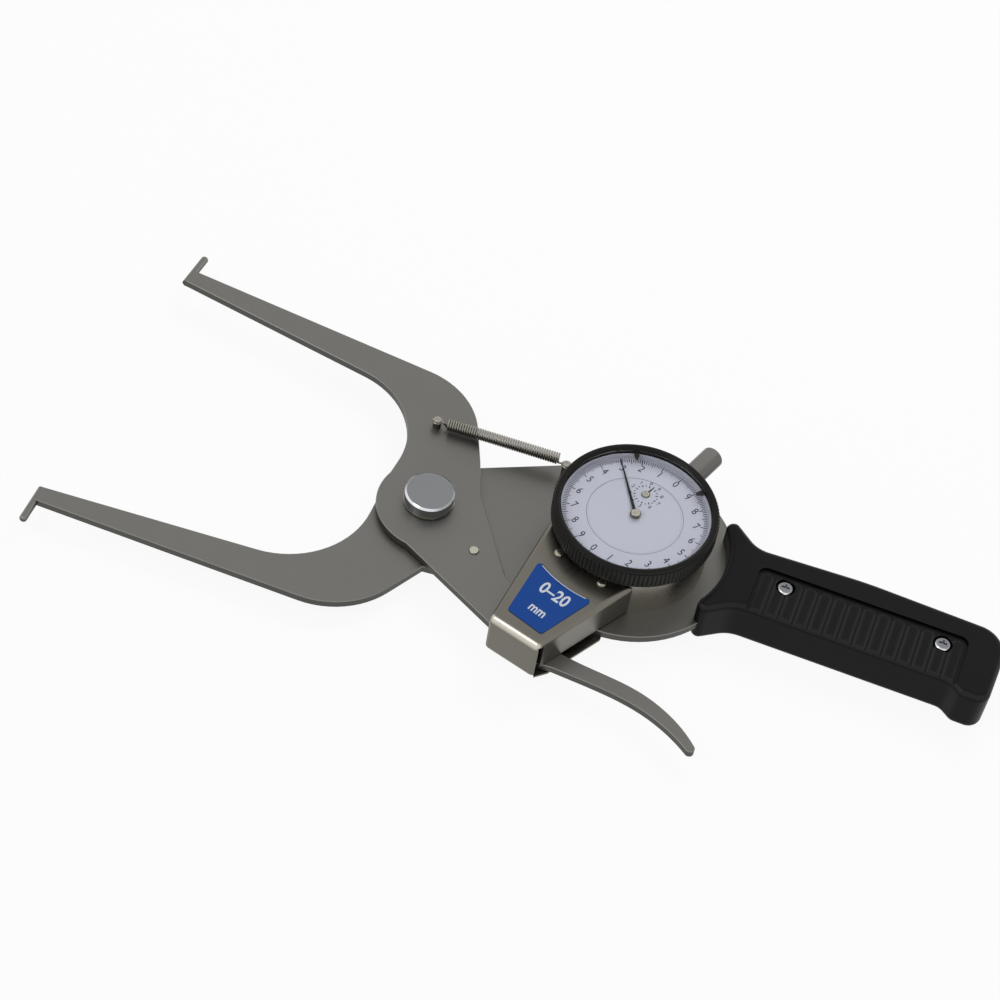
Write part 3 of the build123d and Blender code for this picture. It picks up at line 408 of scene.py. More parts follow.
# Nickelled brass heads: pale, a little golden, bright, with painted shade on their rounded edges and
# darkest painted shade on their upright rims.
BRASS = Finish(
    "nickelled_brass", Slot.BRASS, "#CBC7B8", "#A8A492", roughness=0.16, grain_depth_mm=0.003,
    flat=0.92, edge=0.5, side=0.18,
)
# Black baked enamel on the turned bezel: satin, no grain to speak of; its upright sides carry painted
# light, three times as light as its colour.
BLACK = Finish(
    "baked_black_enamel", Slot.BLACK_ENAMEL, "#1A1A18", "#121211", metallic=0.0, roughness=0.36,
    grain_depth_mm=0.004, specular=0.12, side=3.0,
)
# Printed enamel face: pale cold white, matt.
FACE = Finish(
    "printed_face_enamel", Slot.FACE_ENAMEL, "#B3B5BF", "#AEB0BA", metallic=0.0, roughness=0.5,
    grain_depth_mm=0.002, specular=0.1,
)
# Black screen-print ink of the scale: dense, matt, a little cold.
INK = Finish("scale_ink", Slot.BLACK_ENAMEL, "#111217", "#0C0D11", metallic=0.0, roughness=0.5, specular=0.1)
# Blued steel of the pointers: a greenish black.
BLUED = Finish(
    "blued_pointer_steel", Slot.BLACK_ENAMEL, "#1C2423", "#151B1A", metallic=0.0, roughness=0.35, specular=0.1
)
# Blue print under a clear film: deep and glossy.
BLUE = Finish(
    "blue_label_print", Slot.LABEL_BLUE, "#184B9A", "#154592", metallic=0.0, roughness=0.3,
    grain_depth_mm=0.001, specular=0.15,
)
# White print of the label: a cold satin white.
WHITE = Finish("white_label_print", Slot.LABEL_BLUE, "#DDE2EA", "#D3D8E2", metallic=0.0, roughness=0.35)
# Moulded ABS: black with a satin skin that has a fine leather-like spark grain; painted highlights on the
# rounded edges of the ribs and rims, and painted shade on the upright sides.
PLASTIC = Finish(
    "moulded_black_abs", Slot.GRIP_PLASTIC, "#181819", "#101011", metallic=0.0, roughness=0.34,
    grain_mm=0.6, grain_depth_mm=0.012, specular=0.1, edge=3.5, side=0.3,
)
# Cast acrylic crystal: clear and polished, with a faint sheen.
CRYSTAL = ClearFinish(
    "cast_acrylic_crystal", Slot.CRYSTAL_CLEAR, "#FAFAFC", "#FAFAFC", metallic=0.0, roughness=0.02,
    roughness_spread=0.01, grain_depth_mm=0.0,
)


def rounded(corners: list[tuple[float, float, float]], steps: int = 5) -> np.ndarray:
    """Closed flat path with rounded corners.

    Each corner becomes an arc: its two tangent points lie radius / tan(half angle) from the corner
    along the sides, its centre lies radius / sin(half angle) along the bisector, and the arc turns
    from one tangent point to the other.

    Args:
        corners: (x, y, radius) of each corner; a radius of 0 stays sharp.
        steps: points on each arc.

    Returns:
        Array of points, one row for each, steps rows for each corner.
    """
    table = np.asarray(corners, float)
    points, radius = table[:, :2], table[:, 2:3]
    back = np.roll(points, 1, 0) - points
    ahead = np.roll(points, -1, 0) - points
    back /= np.linalg.norm(back, axis=1, keepdims=True)
    ahead /= np.linalg.norm(ahead, axis=1, keepdims=True)
    half = np.arccos(np.clip((back * ahead).sum(1, keepdims=True), -1, 1)) / 2
    reach = radius / np.tan(half)
    middle = back + ahead
    length = np.linalg.norm(middle, axis=1, keepdims=True)
    middle = np.where(length > 1e-9, middle / np.maximum(length, 1e-9), 0)
    centre = points + middle * radius / np.sin(half)
    start = points + back * reach - centre
    end = points + ahead * reach - centre
    first = np.arctan2(start[:, 1], start[:, 0])
    sweep = (np.arctan2(end[:, 1], end[:, 0]) - first + np.pi) % (2 * np.pi) - np.pi
    angle = first[:, None] + sweep[:, None] * np.linspace(0, 1, steps)
    arc = centre[:, None] + radius[:, None] * np.stack([np.cos(angle), np.sin(angle)], -1)
    arc = np.where(radius[:, None] > 0, arc, points[:, None])
    return arc.reshape(-1, 2)


def polar(radius: float, degrees: float, centre: tuple[float, float] = (0.0, 0.0)) -> tuple[float, float]:
    """Point at a distance and an angle from a centre."""
    angle = math.radians(degrees)
    return centre[0] + radius * math.cos(angle), centre[1] + radius * math.sin(angle)


def polar_angle(point: tuple[float, float], centre: tuple[float, float]) -> float:
    """Angle of a point seen from a centre, in degrees."""
    return math.degrees(math.atan2(point[1] - centre[1], point[0] - centre[0]))


def full_turn(steps: int) -> np.ndarray:
    """Angles of so many equal steps round a circle, in radians."""
    return np.linspace(0, 2 * np.pi, steps, endpoint=False)


# Axis of the dial, and the counter's, which lies at this angle from it.
DIAL_AXIS = (69.1, 12.2)
COUNTER_ANGLE = 87.2
COUNTER_AXIS = polar(10.29, COUNTER_ANGLE, DIAL_AXIS)


class Surface:
    """Grids of points, in working millimetres, that become one mesh."""

    def __init__(self) -> None:
        """Starts empty."""
        self.points: list[np.ndarray] = []
        self.faces: list[np.ndarray] = []
        self.count = 0

    def grid(self, table: np.ndarray, wrap_rows: bool = False, wrap_columns: bool = False) -> "Surface":
        """Adds a grid surface: every four neighbouring points are one face.

        Args:
            table: points by row and column, shape (rows, columns, 3).
            wrap_rows: the last row joins the first.
            wrap_columns: the last column joins the first.

        Returns:
            This surface.
        """
        rows, columns = table.shape[:2]
        index = self.count + np.arange(rows * columns).reshape(rows, columns)
        down = np.roll(index, -1, 0)
        right = np.roll(index, -1, 1)
        diagonal = np.roll(down, -1, 1)
        last_row = rows if wrap_rows else rows - 1
        last_column = columns if wrap_columns else columns - 1
        quads = np.stack([index, down, diagonal, right], -1)[:last_row, :last_column]
        self.points.append(table.reshape(-1, 3))
        self.faces.append(quads.reshape(-1, 4))
        self.count += rows * columns
        return self

    def lathe(
        self,
        profile: np.ndarray,
        centre: tuple[float, float],
        columns: int = LARGE_TURN,
        inward: float | np.ndarray = 0.0,
    ) -> "Surface":
        """Turns a closed profile round an upright axis: x = r cos a, y = r sin a, z = height.

        Args:
            profile: (radius, height) of each point; the last joins the first.
            centre: the axis, in plan.
            columns: steps round the axis.
            inward: how far each point of each step moves towards the axis.

        Returns:
            This surface.
        """
        angle = full_turn(columns)[:, None]
        radius = profile[:, 0] - inward
        table = np.stack(
            [
                centre[0] + np.cos(angle) * radius,
                centre[1] + np.sin(angle) * radius,
                np.broadcast_to(profile[:, 1], (columns, len(profile))),
            ],
            -1,
        )
        return self.grid(table, wrap_rows=True, wrap_columns=True)

    def spindle(
        self, profile: np.ndarray, start: np.ndarray, direction: np.ndarray, columns: int
    ) -> "Surface":
        """Turns a closed profile round any axis: point = start + along * axis + radius * (side cos a +
        up sin a).

        Args:
            profile: (radius, distance along the axis) of each point.
            start: point on the axis.
            direction: direction of the axis.
            columns: steps round the axis.

        Returns:
            This surface.
        """
        axis = np.asarray(direction, float) / np.linalg.norm(direction)
        side = np.cross(axis, (0.0, 0.0, 1.0) if abs(axis[2]) < 0.9 else (1.0, 0.0, 0.0))
        side /= np.linalg.norm(side)
        up = np.cross(axis, side)
        angle = full_turn(columns)[:, None, None]
        ring = np.cos(angle) * side + np.sin(angle) * up
        table = np.asarray(start) + profile[None, :, 1:2] * axis + profile[None, :, 0:1] * ring
        return self.grid(table, wrap_rows=True, wrap_columns=True)

    def tube(self, path: np.ndarray, side: np.ndarray, radius: float, columns: int = 10) -> "Surface":
        """Carries a round section along a path: point = path + radius * (across cos a + up sin a).

        Args:
            path: points of the centreline.
            side: a direction, or one for each point, that the path never runs along.
            radius: radius of the wire.
            columns: steps round the wire.

        Returns:
            This surface, with both ends drawn together to a point.
        """
        tangent = np.gradient(path, axis=0)
        tangent /= np.linalg.norm(tangent, axis=1, keepdims=True)
        across = np.cross(tangent, side)
        across /= np.linalg.norm(across, axis=1, keepdims=True)
        up = np.cross(tangent, across)
        angle = full_turn(columns)[None, :, None]
        table = path[:, None] + radius * (np.cos(angle) * across[:, None] + np.sin(angle) * up[:, None])
        start = np.broadcast_to(path[0], (1, columns, 3))
        end = np.broadcast_to(path[-1], (1, columns, 3))
        return self.grid(np.concatenate([start, table, end]), wrap_columns=True)

    def plate(
        self, outline: np.ndarray, bottom: float, top: float, edge: float, steps: int = 2
    ) -> "Surface":
        """Flat plate with rounded edges: the outline moves inward by edge * (1 - cos a) while the height
        moves by edge * sin a, and both flat sides close to the outline's middle.

        Args:
            outline: plan points, anticlockwise.
            bottom: height of the lower side.
            top: height of the upper side.
            edge: radius of the rounded edges.
            steps: points on each rounded edge.

        Returns:
            This surface.
        """
        forward = np.roll(outline, -1, 0) - outline
        forward /= np.maximum(np.linalg.norm(forward, axis=1, keepdims=True), 1e-9)
        normal = np.stack([forward[:, 1], -forward[:, 0]], -1)
        bisector = normal + np.roll(normal, 1, 0)
        bisector /= np.maximum((bisector * normal).sum(1, keepdims=True), 0.2)
        angle = np.linspace(0, np.pi / 2, steps)
        inset = edge * np.concatenate([1 - np.sin(angle), 1 - np.cos(angle)])
        height = np.concatenate([bottom + edge * (1 - np.cos(angle)), top - edge * (1 - np.sin(angle))])
        wall = outline[:, None] - bisector[:, None] * inset[None, :, None]
        wall = np.concatenate([wall, np.broadcast_to(height[None, :, None], (*wall.shape[:2], 1))], -1)
        middle = outline.mean(0)
        low = np.broadcast_to(np.array([*middle, bottom]), (len(outline), 1, 3))
        high = np.broadcast_to(np.array([*middle, top]), (len(outline), 1, 3))
        return self.grid(np.concatenate([low, wall, high], 1), wrap_rows=True)

    def strips(
        self, inner: np.ndarray, outer: np.ndarray, width: np.ndarray, bottom: float, top: float
    ) -> "Surface":
        """Many thin straight bars at once, each from an inner to an outer plan point.

        Args:
            inner: start of each bar.
            outer: end of each bar.
            width: width of each bar.
            bottom: height of the lower side.
            top: height of the upper side.

        Returns:
            This surface.
        """
        along = outer - inner
        along /= np.linalg.norm(along, axis=1, keepdims=True)
        half = np.stack([-along[:, 1], along[:, 0]], -1) * width[:, None] / 2
        plan = np.stack([inner - half, outer - half, outer + half, inner + half], 1)
        low, high = (
            np.concatenate([plan, np.full((*plan.shape[:2], 1), height)], -1) for height in (bottom, top)
        )
        corners = np.concatenate([low, high], 1)
        sides = np.array([[3, 2, 1, 0], [4, 5, 6, 7], [0, 1, 5, 4], [1, 2, 6, 5], [2, 3, 7, 6], [3, 0, 4, 7]])
        first = self.count + np.arange(len(inner))[:, None, None] * 8
        self.points.append(corners.reshape(-1, 3))
        self.faces.append((first + sides).reshape(-1, 4))
        self.count += len(inner) * 8
        return self

    def mesh(self, name: str) -> bpy.types.Mesh:
        """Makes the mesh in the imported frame, merges poles and seams and turns the faces outward.

        Args:
            name: name of the mesh.

        Returns:
            The new mesh, smooth but for its sharp edges.
        """
        points = np.concatenate(self.points) * MM + WORK_ORIGIN
        faces = np.concatenate(self.faces)
        mesh = bpy.data.meshes.new(name)
        mesh.vertices.add(len(points))
        mesh.vertices.foreach_set("co", points.ravel())
        mesh.loops.add(faces.size)
        mesh.loops.foreach_set("vertex_index", faces.ravel())
        mesh.polygons.add(len(faces))
        mesh.polygons.foreach_set("loop_start", np.arange(0, faces.size, 4))
        mesh.update(calc_edges=True)
        shape = bmesh.new()
        shape.from_mesh(mesh)
        bmesh.ops.remove_doubles(shape, verts=shape.verts, dist=MERGE_DISTANCE)
        bmesh.ops.dissolve_degenerate(shape, edges=shape.edges, dist=MERGE_DISTANCE / 2)
        bmesh.ops.recalc_face_normals(shape, faces=shape.faces)
        shape.to_mesh(mesh)
        shape.free()
        smooth(mesh)
        return mesh

    def piece(
        self, name: str, finish: Finish, body: Body | None, nodes: tuple[str, ...] = ()
    ) -> bpy.types.Object:
        """Makes the mesh a piece of the gauge, as place() does."""
        return place(self.mesh(name), finish, body, nodes)


def smooth(mesh: bpy.types.Mesh) -> None:
    """Shades a mesh smooth and keeps its edges above SHARP_ANGLE sharp."""
    mesh.polygons.foreach_set("use_smooth", np.ones(len(mesh.polygons), bool))
    mesh.set_sharp_from_angle(angle=SHARP_ANGLE)


def place(
    mesh: bpy.types.Mesh, finish: Finish, body: Body | None, nodes: tuple[str, ...] = ()
) -> bpy.types.Object:
    """Makes a mesh a piece of the gauge, under the mesh's own name.

    Args:
        mesh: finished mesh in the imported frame.
        finish: its surface.
        body: body that it rides on, or None where it rides on no body.
        nodes: CAD nodes that it stands for.

    Returns:
        The new object, at the origin.
    """
    piece = add_object(mesh.name, mesh)
    mesh.materials.append(finish.material())
    if body:
        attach(piece, body.value)
    if nodes:
        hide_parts(*nodes)
    log.info("piece %s: %d faces", piece.name, len(mesh.polygons))
    return piece


def dress(finish: Finish, *nodes: str) -> None:
    """Gives CAD nodes that stay in view their finish.

    Args:
        finish: the surface of all of them.
        *nodes: names of the nodes.
    """
    for node in nodes:
        for slot in frame["nodes"][node].material_slots:
            slot.material = finish.material()
        log.info("node %s: %s", node, finish.name)


def break_edges(node: str, finish: Finish, body: Body, width: float) -> bpy.types.Object:
    """Replaces a flat CAD plate by a copy whose sharp edges are broken, as a deburred plate's are.

    Only the upper face is taken from the CAD mesh. A border of the width is marked off inside its outline
    and the outline sinks by as much; the result is turned over for the lower side, and a wall joins both.

    Args:
        node: the CAD node, one outline between two heights.
        finish: surface of the copy.
        body: body that it rides on.
        width: width of the broken edge.

    Returns:
        The new piece.
    """
    low, high = (corner.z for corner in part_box(node))
    step = width * MM
    shape = bmesh.new()
    shape.from_mesh(frame["nodes"][node].data)
    bmesh.ops.remove_doubles(shape, verts=shape.verts, dist=MERGE_DISTANCE)
    other = [
        face for face in shape.faces if face.normal.z < UPWARD or face.calc_center_median().z < high - step
    ]
    bmesh.ops.delete(shape, geom=other, context="FACES")
    strip = bmesh.ops.inset_region(
        shape, faces=shape.faces[:], use_boundary=True, use_even_offset=True, thickness=step
    )["faces"]
    outer = [edge for edge in shape.edges if edge.is_boundary]
    rim = list({vert for edge in outer for vert in edge.verts})
    bmesh.ops.translate(shape, verts=rim, vec=(0, 0, -step))
    inside = [face for face in shape.faces if face not in set(strip)]
    bmesh.ops.delete(shape, geom=inside, context="FACES")
    inner = [edge for edge in shape.edges if edge.is_boundary and edge.verts[0].co.z > high - step / 2]
    bmesh.ops.triangle_fill(shape, edges=inner, use_beauty=True, normal=(0, 0, 1))
    half = bmesh.ops.duplicate(shape, geom=[*shape.verts, *shape.edges, *shape.faces])["geom"]
    turned = [item for item in half if isinstance(item, bmesh.types.BMVert)]
    flip = Matrix.Translation((0, 0, low + high)) @ Matrix.Diagonal((1, 1, -1, 1))
    bmesh.ops.transform(shape, matrix=flip, verts=turned)
    wall = bmesh.ops.extrude_edge_only(shape, edges=outer)["geom"]
    foot = [item for item in wall if isinstance(item, bmesh.types.BMVert)]
    bmesh.ops.translate(shape, verts=foot, vec=(0, 0, low - high + 2 * step))
    bmesh.ops.remove_doubles(shape, verts=shape.verts, dist=MERGE_DISTANCE)
    bmesh.ops.recalc_face_normals(shape, faces=shape.faces)
    mesh = bpy.data.meshes.new(f"{node}_deburred")
    shape.to_mesh(mesh)
    shape.free()
    smooth(mesh)
    normals = np.zeros(len(mesh.polygons) * 3)
    mesh.polygons.foreach_get("normal", normals)
    mesh.polygons.foreach_set("use_smooth", np.abs(normals[2::3]) < FLAT)
    return place(mesh, finish, body, (node,))


@dataclass
class Lettering:
    """Printed figures and letters, gathered into one thin mesh.

    Attributes:
        height: height of the print's lower side.
        thickness: how far it stands up.
        weight: how much each stroke is thickened, as a part of the size. Any weight closes the figure 4.
        curve_steps: steps on each curve of a letter.
        shape: the mesh that gathers the lines.
    """

    height: float
    thickness: float
    weight: float = 0.0
    curve_steps: int = 3
    shape: bmesh.types.BMesh = field(default_factory=bmesh.new)

    def write(
        self, text: str, size: float, at: tuple[float, float], turn: float, condense: float = 1.0
    ) -> None:
        """Adds one line of text.

        Args:
            text: what is written.
            size: height of the letters' body.
            at: middle of the line, in plan.
            turn: turn of the line, in degrees.
            condense: width of the letters against their usual width.
        """
        curve = bpy.data.curves.new("text", "FONT")
        curve.body = text
        curve.size = size * MM
        curve.align_x = "CENTER"
        curve.align_y = "CENTER"
        curve.extrude = self.thickness / 2 * MM
        curve.offset = self.weight * size * MM
        curve.resolution_u = self.curve_steps
        holder = add_object("text", curve)
        bpy.context.view_layer.update()
        mesh = bpy.data.meshes.new_from_object(holder.evaluated_get(bpy.context.evaluated_depsgraph_get()))
        centre = Matrix.Translation(packed((*at, self.height + self.thickness / 2)))
        narrow = Matrix.Diagonal((condense, 1, 1, 1))
        mesh.transform(centre @ Matrix.Rotation(math.radians(turn), 4, "Z") @ narrow)
        self.shape.from_mesh(mesh)
        bpy.data.objects.remove(holder)
        bpy.data.curves.remove(curve)
        bpy.data.meshes.remove(mesh)

    def piece(self, name: str, finish: Finish, body: Body) -> bpy.types.Object:
        """Makes the gathered text one piece.

        Args:
            name: name of the piece.
            finish: its ink.
            body: body that it rides on.

        Returns:
            The new object.
        """
        bmesh.ops.remove_doubles(self.shape, verts=self.shape.verts, dist=MERGE_DISTANCE)
        bmesh.ops.recalc_face_normals(self.shape, faces=self.shape.faces)
        mesh = bpy.data.meshes.new(name)
        self.shape.to_mesh(mesh)
        self.shape.free()
        return place(mesh, finish, body)


@dataclass
class Jaws:
    """The two flat jaws, the trigger and their contact pins.

    Attributes:
        edge: width of the plates' broken edge.
    """

    edge: float = 0.22

    def build(self) -> None:
        """Builds the plates and dresses the pins."""
        for node, finish, body in (
            ("frame_plate", PLATE, Body.FRAME),
            ("moving_jaw", PLATE, Body.JAW),
            ("trigger_lever", PLATE, Body.JAW),
            ("plunger_anvil", CHROME, Body.JAW),
        ):
            break_edges(node, finish, body, self.edge)
        dress(PLATE, "fixed_contact_pin", "moving_contact_pin", "trigger_rivets")


@dataclass
class Pivot:
    """Round cap, washers and nut of the pivot.

    Attributes:
        cap_radius: radius of the cap.
        cap_bottom: height of its lower side.
        cap_top: height of its flat top.
        bevel: width of the bright bevel round the top.
        bevel_rise: height of that bevel, as a part of its width.
        foot: width and height of the bevel round the lower side.
        nut_edge: width of the nut's broken edge.
    """

    cap_radius: float = 8.73
    cap_bottom: float = 0.6
    cap_top: float = 5.3
    bevel: float = 0.75
    bevel_rise: float = 0.8
    foot: float = 0.5
    nut_edge: float = 0.35

    def build(self) -> None:
        """Builds the cap and the nut and dresses the washers and the shaft."""
        profile = rounded(
            [
                (0, self.cap_bottom, 0),
                (self.cap_radius - self.foot, self.cap_bottom, 0.15),
                (self.cap_radius, self.cap_bottom + self.foot, 0.3),
                (self.cap_radius, self.cap_top - self.bevel * self.bevel_rise, 0.25),
                (self.cap_radius - self.bevel, self.cap_top, 0.3),
                (0, self.cap_top, 0),
            ]
        )
        Surface().lathe(profile, (0, 0)).piece("pivot_cap_turned", CHROME, Body.FRAME, ("pivot_cap",))
        break_edges("pivot_nut", NICKEL, Body.FRAME, self.nut_edge)
        dress(WIRE, "pivot_washers")
        dress(NICKEL, "pivot_shaft")


@dataclass
class ReturnSpring:
    """Close-wound extension spring between its two posts.

    Attributes:
        jaw_post: place of the post on the moving jaw.
        frame_post: place of the post on the frame.
        jaw_seat: height of the moving jaw's upper side.
        frame_seat: height of the frame plate's upper side.
        plate: thickness of both plates.
        post_radius: radius of both posts.
        post_top: height of their heads.
        groove_depth: depth of the groove for the wire.
        groove_half: half the height of the groove's floor.
        groove_lips: how far below and above the wire's axis the groove opens.
        head_edge: height of the head's slope.
        head_flat: radius of the head's flat ring, as a part of the post's.
        dimple: radius of the head's dimple at its mouth and at its floor, as parts of the post's.
        dimple_depth: depth of that dimple.
        start: left end of the coils' axis.
        end: right end of the coils' axis.
        height: height of the spring's axis.
        radius: outer radius of the coils.
        wire: diameter of the wire.
        turns: number of coils; the last one ends on the near side, where the right leg leaves it.
        steps: points on each coil.
        eye_play: room between the wire of an eye and the groove's floor.
        eye_turn: how far an eye goes round its post, in half turns.
        eye_steps: points on each eye.
        leg_steps: points on each leg and its bend.
        leg_bend: how late a leg leaves the eye's line along it, across it and upwards, as powers.
    """

    jaw_post: tuple[float, float] = (-9.64, 32.95)
    frame_post: tuple[float, float] = (38.62, 33.47)
    jaw_seat: float = 0.0
    frame_seat: float = -3.25
    plate: float = 3.0
    post_radius: float = 1.5
    post_top: float = 3.9
    groove_depth: float = 0.4
    groove_half: float = 0.35
    groove_lips: tuple[float, float] = (0.5, 0.45)
    head_edge: float = 0.25
    head_flat: float = 0.6
    dimple: tuple[float, float] = (0.3, 0.2)
    dimple_depth: float = 0.2
    start: tuple[float, float] = (-5.84, 32.97)
    end: tuple[float, float] = (35.3, 35.06)
    height: float = 2.9
    radius: float = 2.15
    wire: float = 0.75
    turns: float = 46.75
    steps: int = 24
    eye_play: float = 0.05
    eye_turn: float = 1.9
    eye_steps: int = 40
    leg_steps: int = 14
    leg_bend: tuple[float, float, float] = (1.0, 1.5, 2.2)

    def coils(self) -> np.ndarray:
        """Centreline of the coils: the place on the axis grows evenly with the angle, the side goes with its
        sine and the height with its cosine.

        Returns:
            Points of the helix.
        """
        axis = np.array(self.end) - self.start
        side = np.array([-axis[1], axis[0]]) / np.linalg.norm(axis)
        share = np.linspace(0, 1, int(self.turns * self.steps) + 1)[:, None]
        angle = share * self.turns * 2 * np.pi
        reach = self.radius - self.wire / 2
        plan = np.array(self.start) + axis * share + side * reach * np.sin(angle)
        return np.concatenate([plan, self.height - reach * np.cos(angle)], 1)

    def eye(self, post: tuple[float, float], target: np.ndarray) -> np.ndarray:
        """Centreline of one eye: a loop round the post's groove, then a leg that bends into the coils.

        Args:
            post: place of the post.
            target: end point of the coils.

        Returns:
            Points of the loop and the leg.
        """
        way = 1 if target[0] > post[0] else -1
        reach = self.post_radius - self.groove_depth + self.wire / 2 + self.eye_play
        angle = np.linspace(0, self.eye_turn * np.pi, self.eye_steps)[::-1]
        height = np.full(self.eye_steps, self.height)
        loop = np.stack([post[0] + way * reach * np.cos(angle), post[1] + reach * np.sin(angle), height], -1)
        leg = np.linspace(0, 1, self.leg_steps)[1:, None] ** self.leg_bend
        return np.concatenate([loop, loop[-1] + (target - loop[-1]) * leg])

    def build(self) -> None:
        """Builds the spring between the jaw and the frame, and its posts."""
        spring = Surface()
        coils = self.coils()
        upright = np.array([0.0, 0.0, 1.0])
        spring.tube(coils, np.array([*(np.array(self.end) - self.start), 0.0]), self.wire / 2)
        spring.tube(self.eye(self.jaw_post, coils[0]), upright, self.wire / 2)
        spring.tube(self.eye(self.frame_post, coils[-1]), upright, self.wire / 2)
        piece = spring.piece("return_spring_wound", WIRE, None, ("return_spring",))
        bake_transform(piece)
        self.post("spring_post", self.jaw_post, self.jaw_seat, Body.JAW)
        self.post("spring_anchor_post", self.frame_post, self.frame_seat, Body.FRAME)

    def post(self, node: str, at: tuple[float, float], seat: float, body: Body) -> None:
        """Turned post with a groove for the wire and a dimple in its head.

        Args:
            node: CAD node that it stands for.
            at: place of the post.
            seat: height of the plate that it stands in.
            body: body that it rides on.
        """
        radius, core, top = self.post_radius, self.post_radius - self.groove_depth, self.post_top
        below, above = self.groove_lips
        mouth, floor = self.dimple
        profile = rounded(
            [
                (0, seat - self.plate, 0),
                (core, seat - self.plate, 0.1),
                (core, seat, 0),
                (radius, seat, 0),
                (radius, self.height - below, 0.1),
                (core, self.height - self.groove_half, 0.15),
                (core, self.height + self.groove_half, 0.15),
                (radius, self.height + above, 0.08),
                (radius, top - self.head_edge, 0.2),
                (radius * self.head_flat, top, 0.3),
                (radius * mouth, top, 0.1),
                (radius * floor, top - self.dimple_depth, 0.05),
                (0, top - self.dimple_depth, 0),
            ]
        )
        Surface().lathe(profile, at, SMALL_TURN).piece(f"{node}_turned", WIRE, body, (node,))


@dataclass
class Housing:
    """Drum of the dial with its stem and dust cap, and the movement inside.

    Attributes:
        centre: axis of the dial.
        plunger_angle: direction of the plunger, in degrees.
        plunger_height: height of its axis.
        cap_radius: radius of the dust cap.
        cap_start: where the dust cap starts, from the dial's axis.
        cap_end: where it ends.
        cap_wall: thickness of its closed end.
        cap_bore: radius of its bore, where the plunger runs.
        cap_columns: steps round it.
    """

    centre: tuple[float, float] = DIAL_AXIS
    plunger_angle: float = 71.0
    plunger_height: float = 4.6
    cap_radius: float = 4.0
    cap_start: float = 35.1
    cap_end: float = 49.1
    cap_wall: float = 1.2
    cap_bore: float = 2.75
    cap_columns: int = 64

    def build(self) -> None:
        """Builds the dust cap and dresses the drum and the works."""
        dress(NICKEL, "dial_case")
        profile = rounded(
            [
                (0, self.cap_end - self.cap_wall, 0),
                (self.cap_bore, self.cap_end - self.cap_wall, 0.2),
                (self.cap_bore, self.cap_start, 0),
                (self.cap_radius, self.cap_start, 0.15),
                (self.cap_radius, self.cap_end, 0.9),
                (0, self.cap_end, 0),
            ],
            6,
        )
        way = np.array([*polar(1, self.plunger_angle), 0])
        start = np.array([*self.centre, self.plunger_height])
        cap = Surface().spindle(profile, start, way, self.cap_columns)
        cap.piece("dust_cap_turned", TURNED, Body.FRAME, ("dust_cap",))
        dress(NICKEL, "stem", "case_screws", "plunger_guide", "grip_nuts", "cover_pillars", "rack_pinion")
        dress(BRASS, "movement_plate", "movement_bridge", "drive_gear", "take_up_gear", "centre_pinion")
        dress(WIRE, "hairspring", "plunger_spring", "plunger_spindle", "plunger_guide_pin", "contact_point")


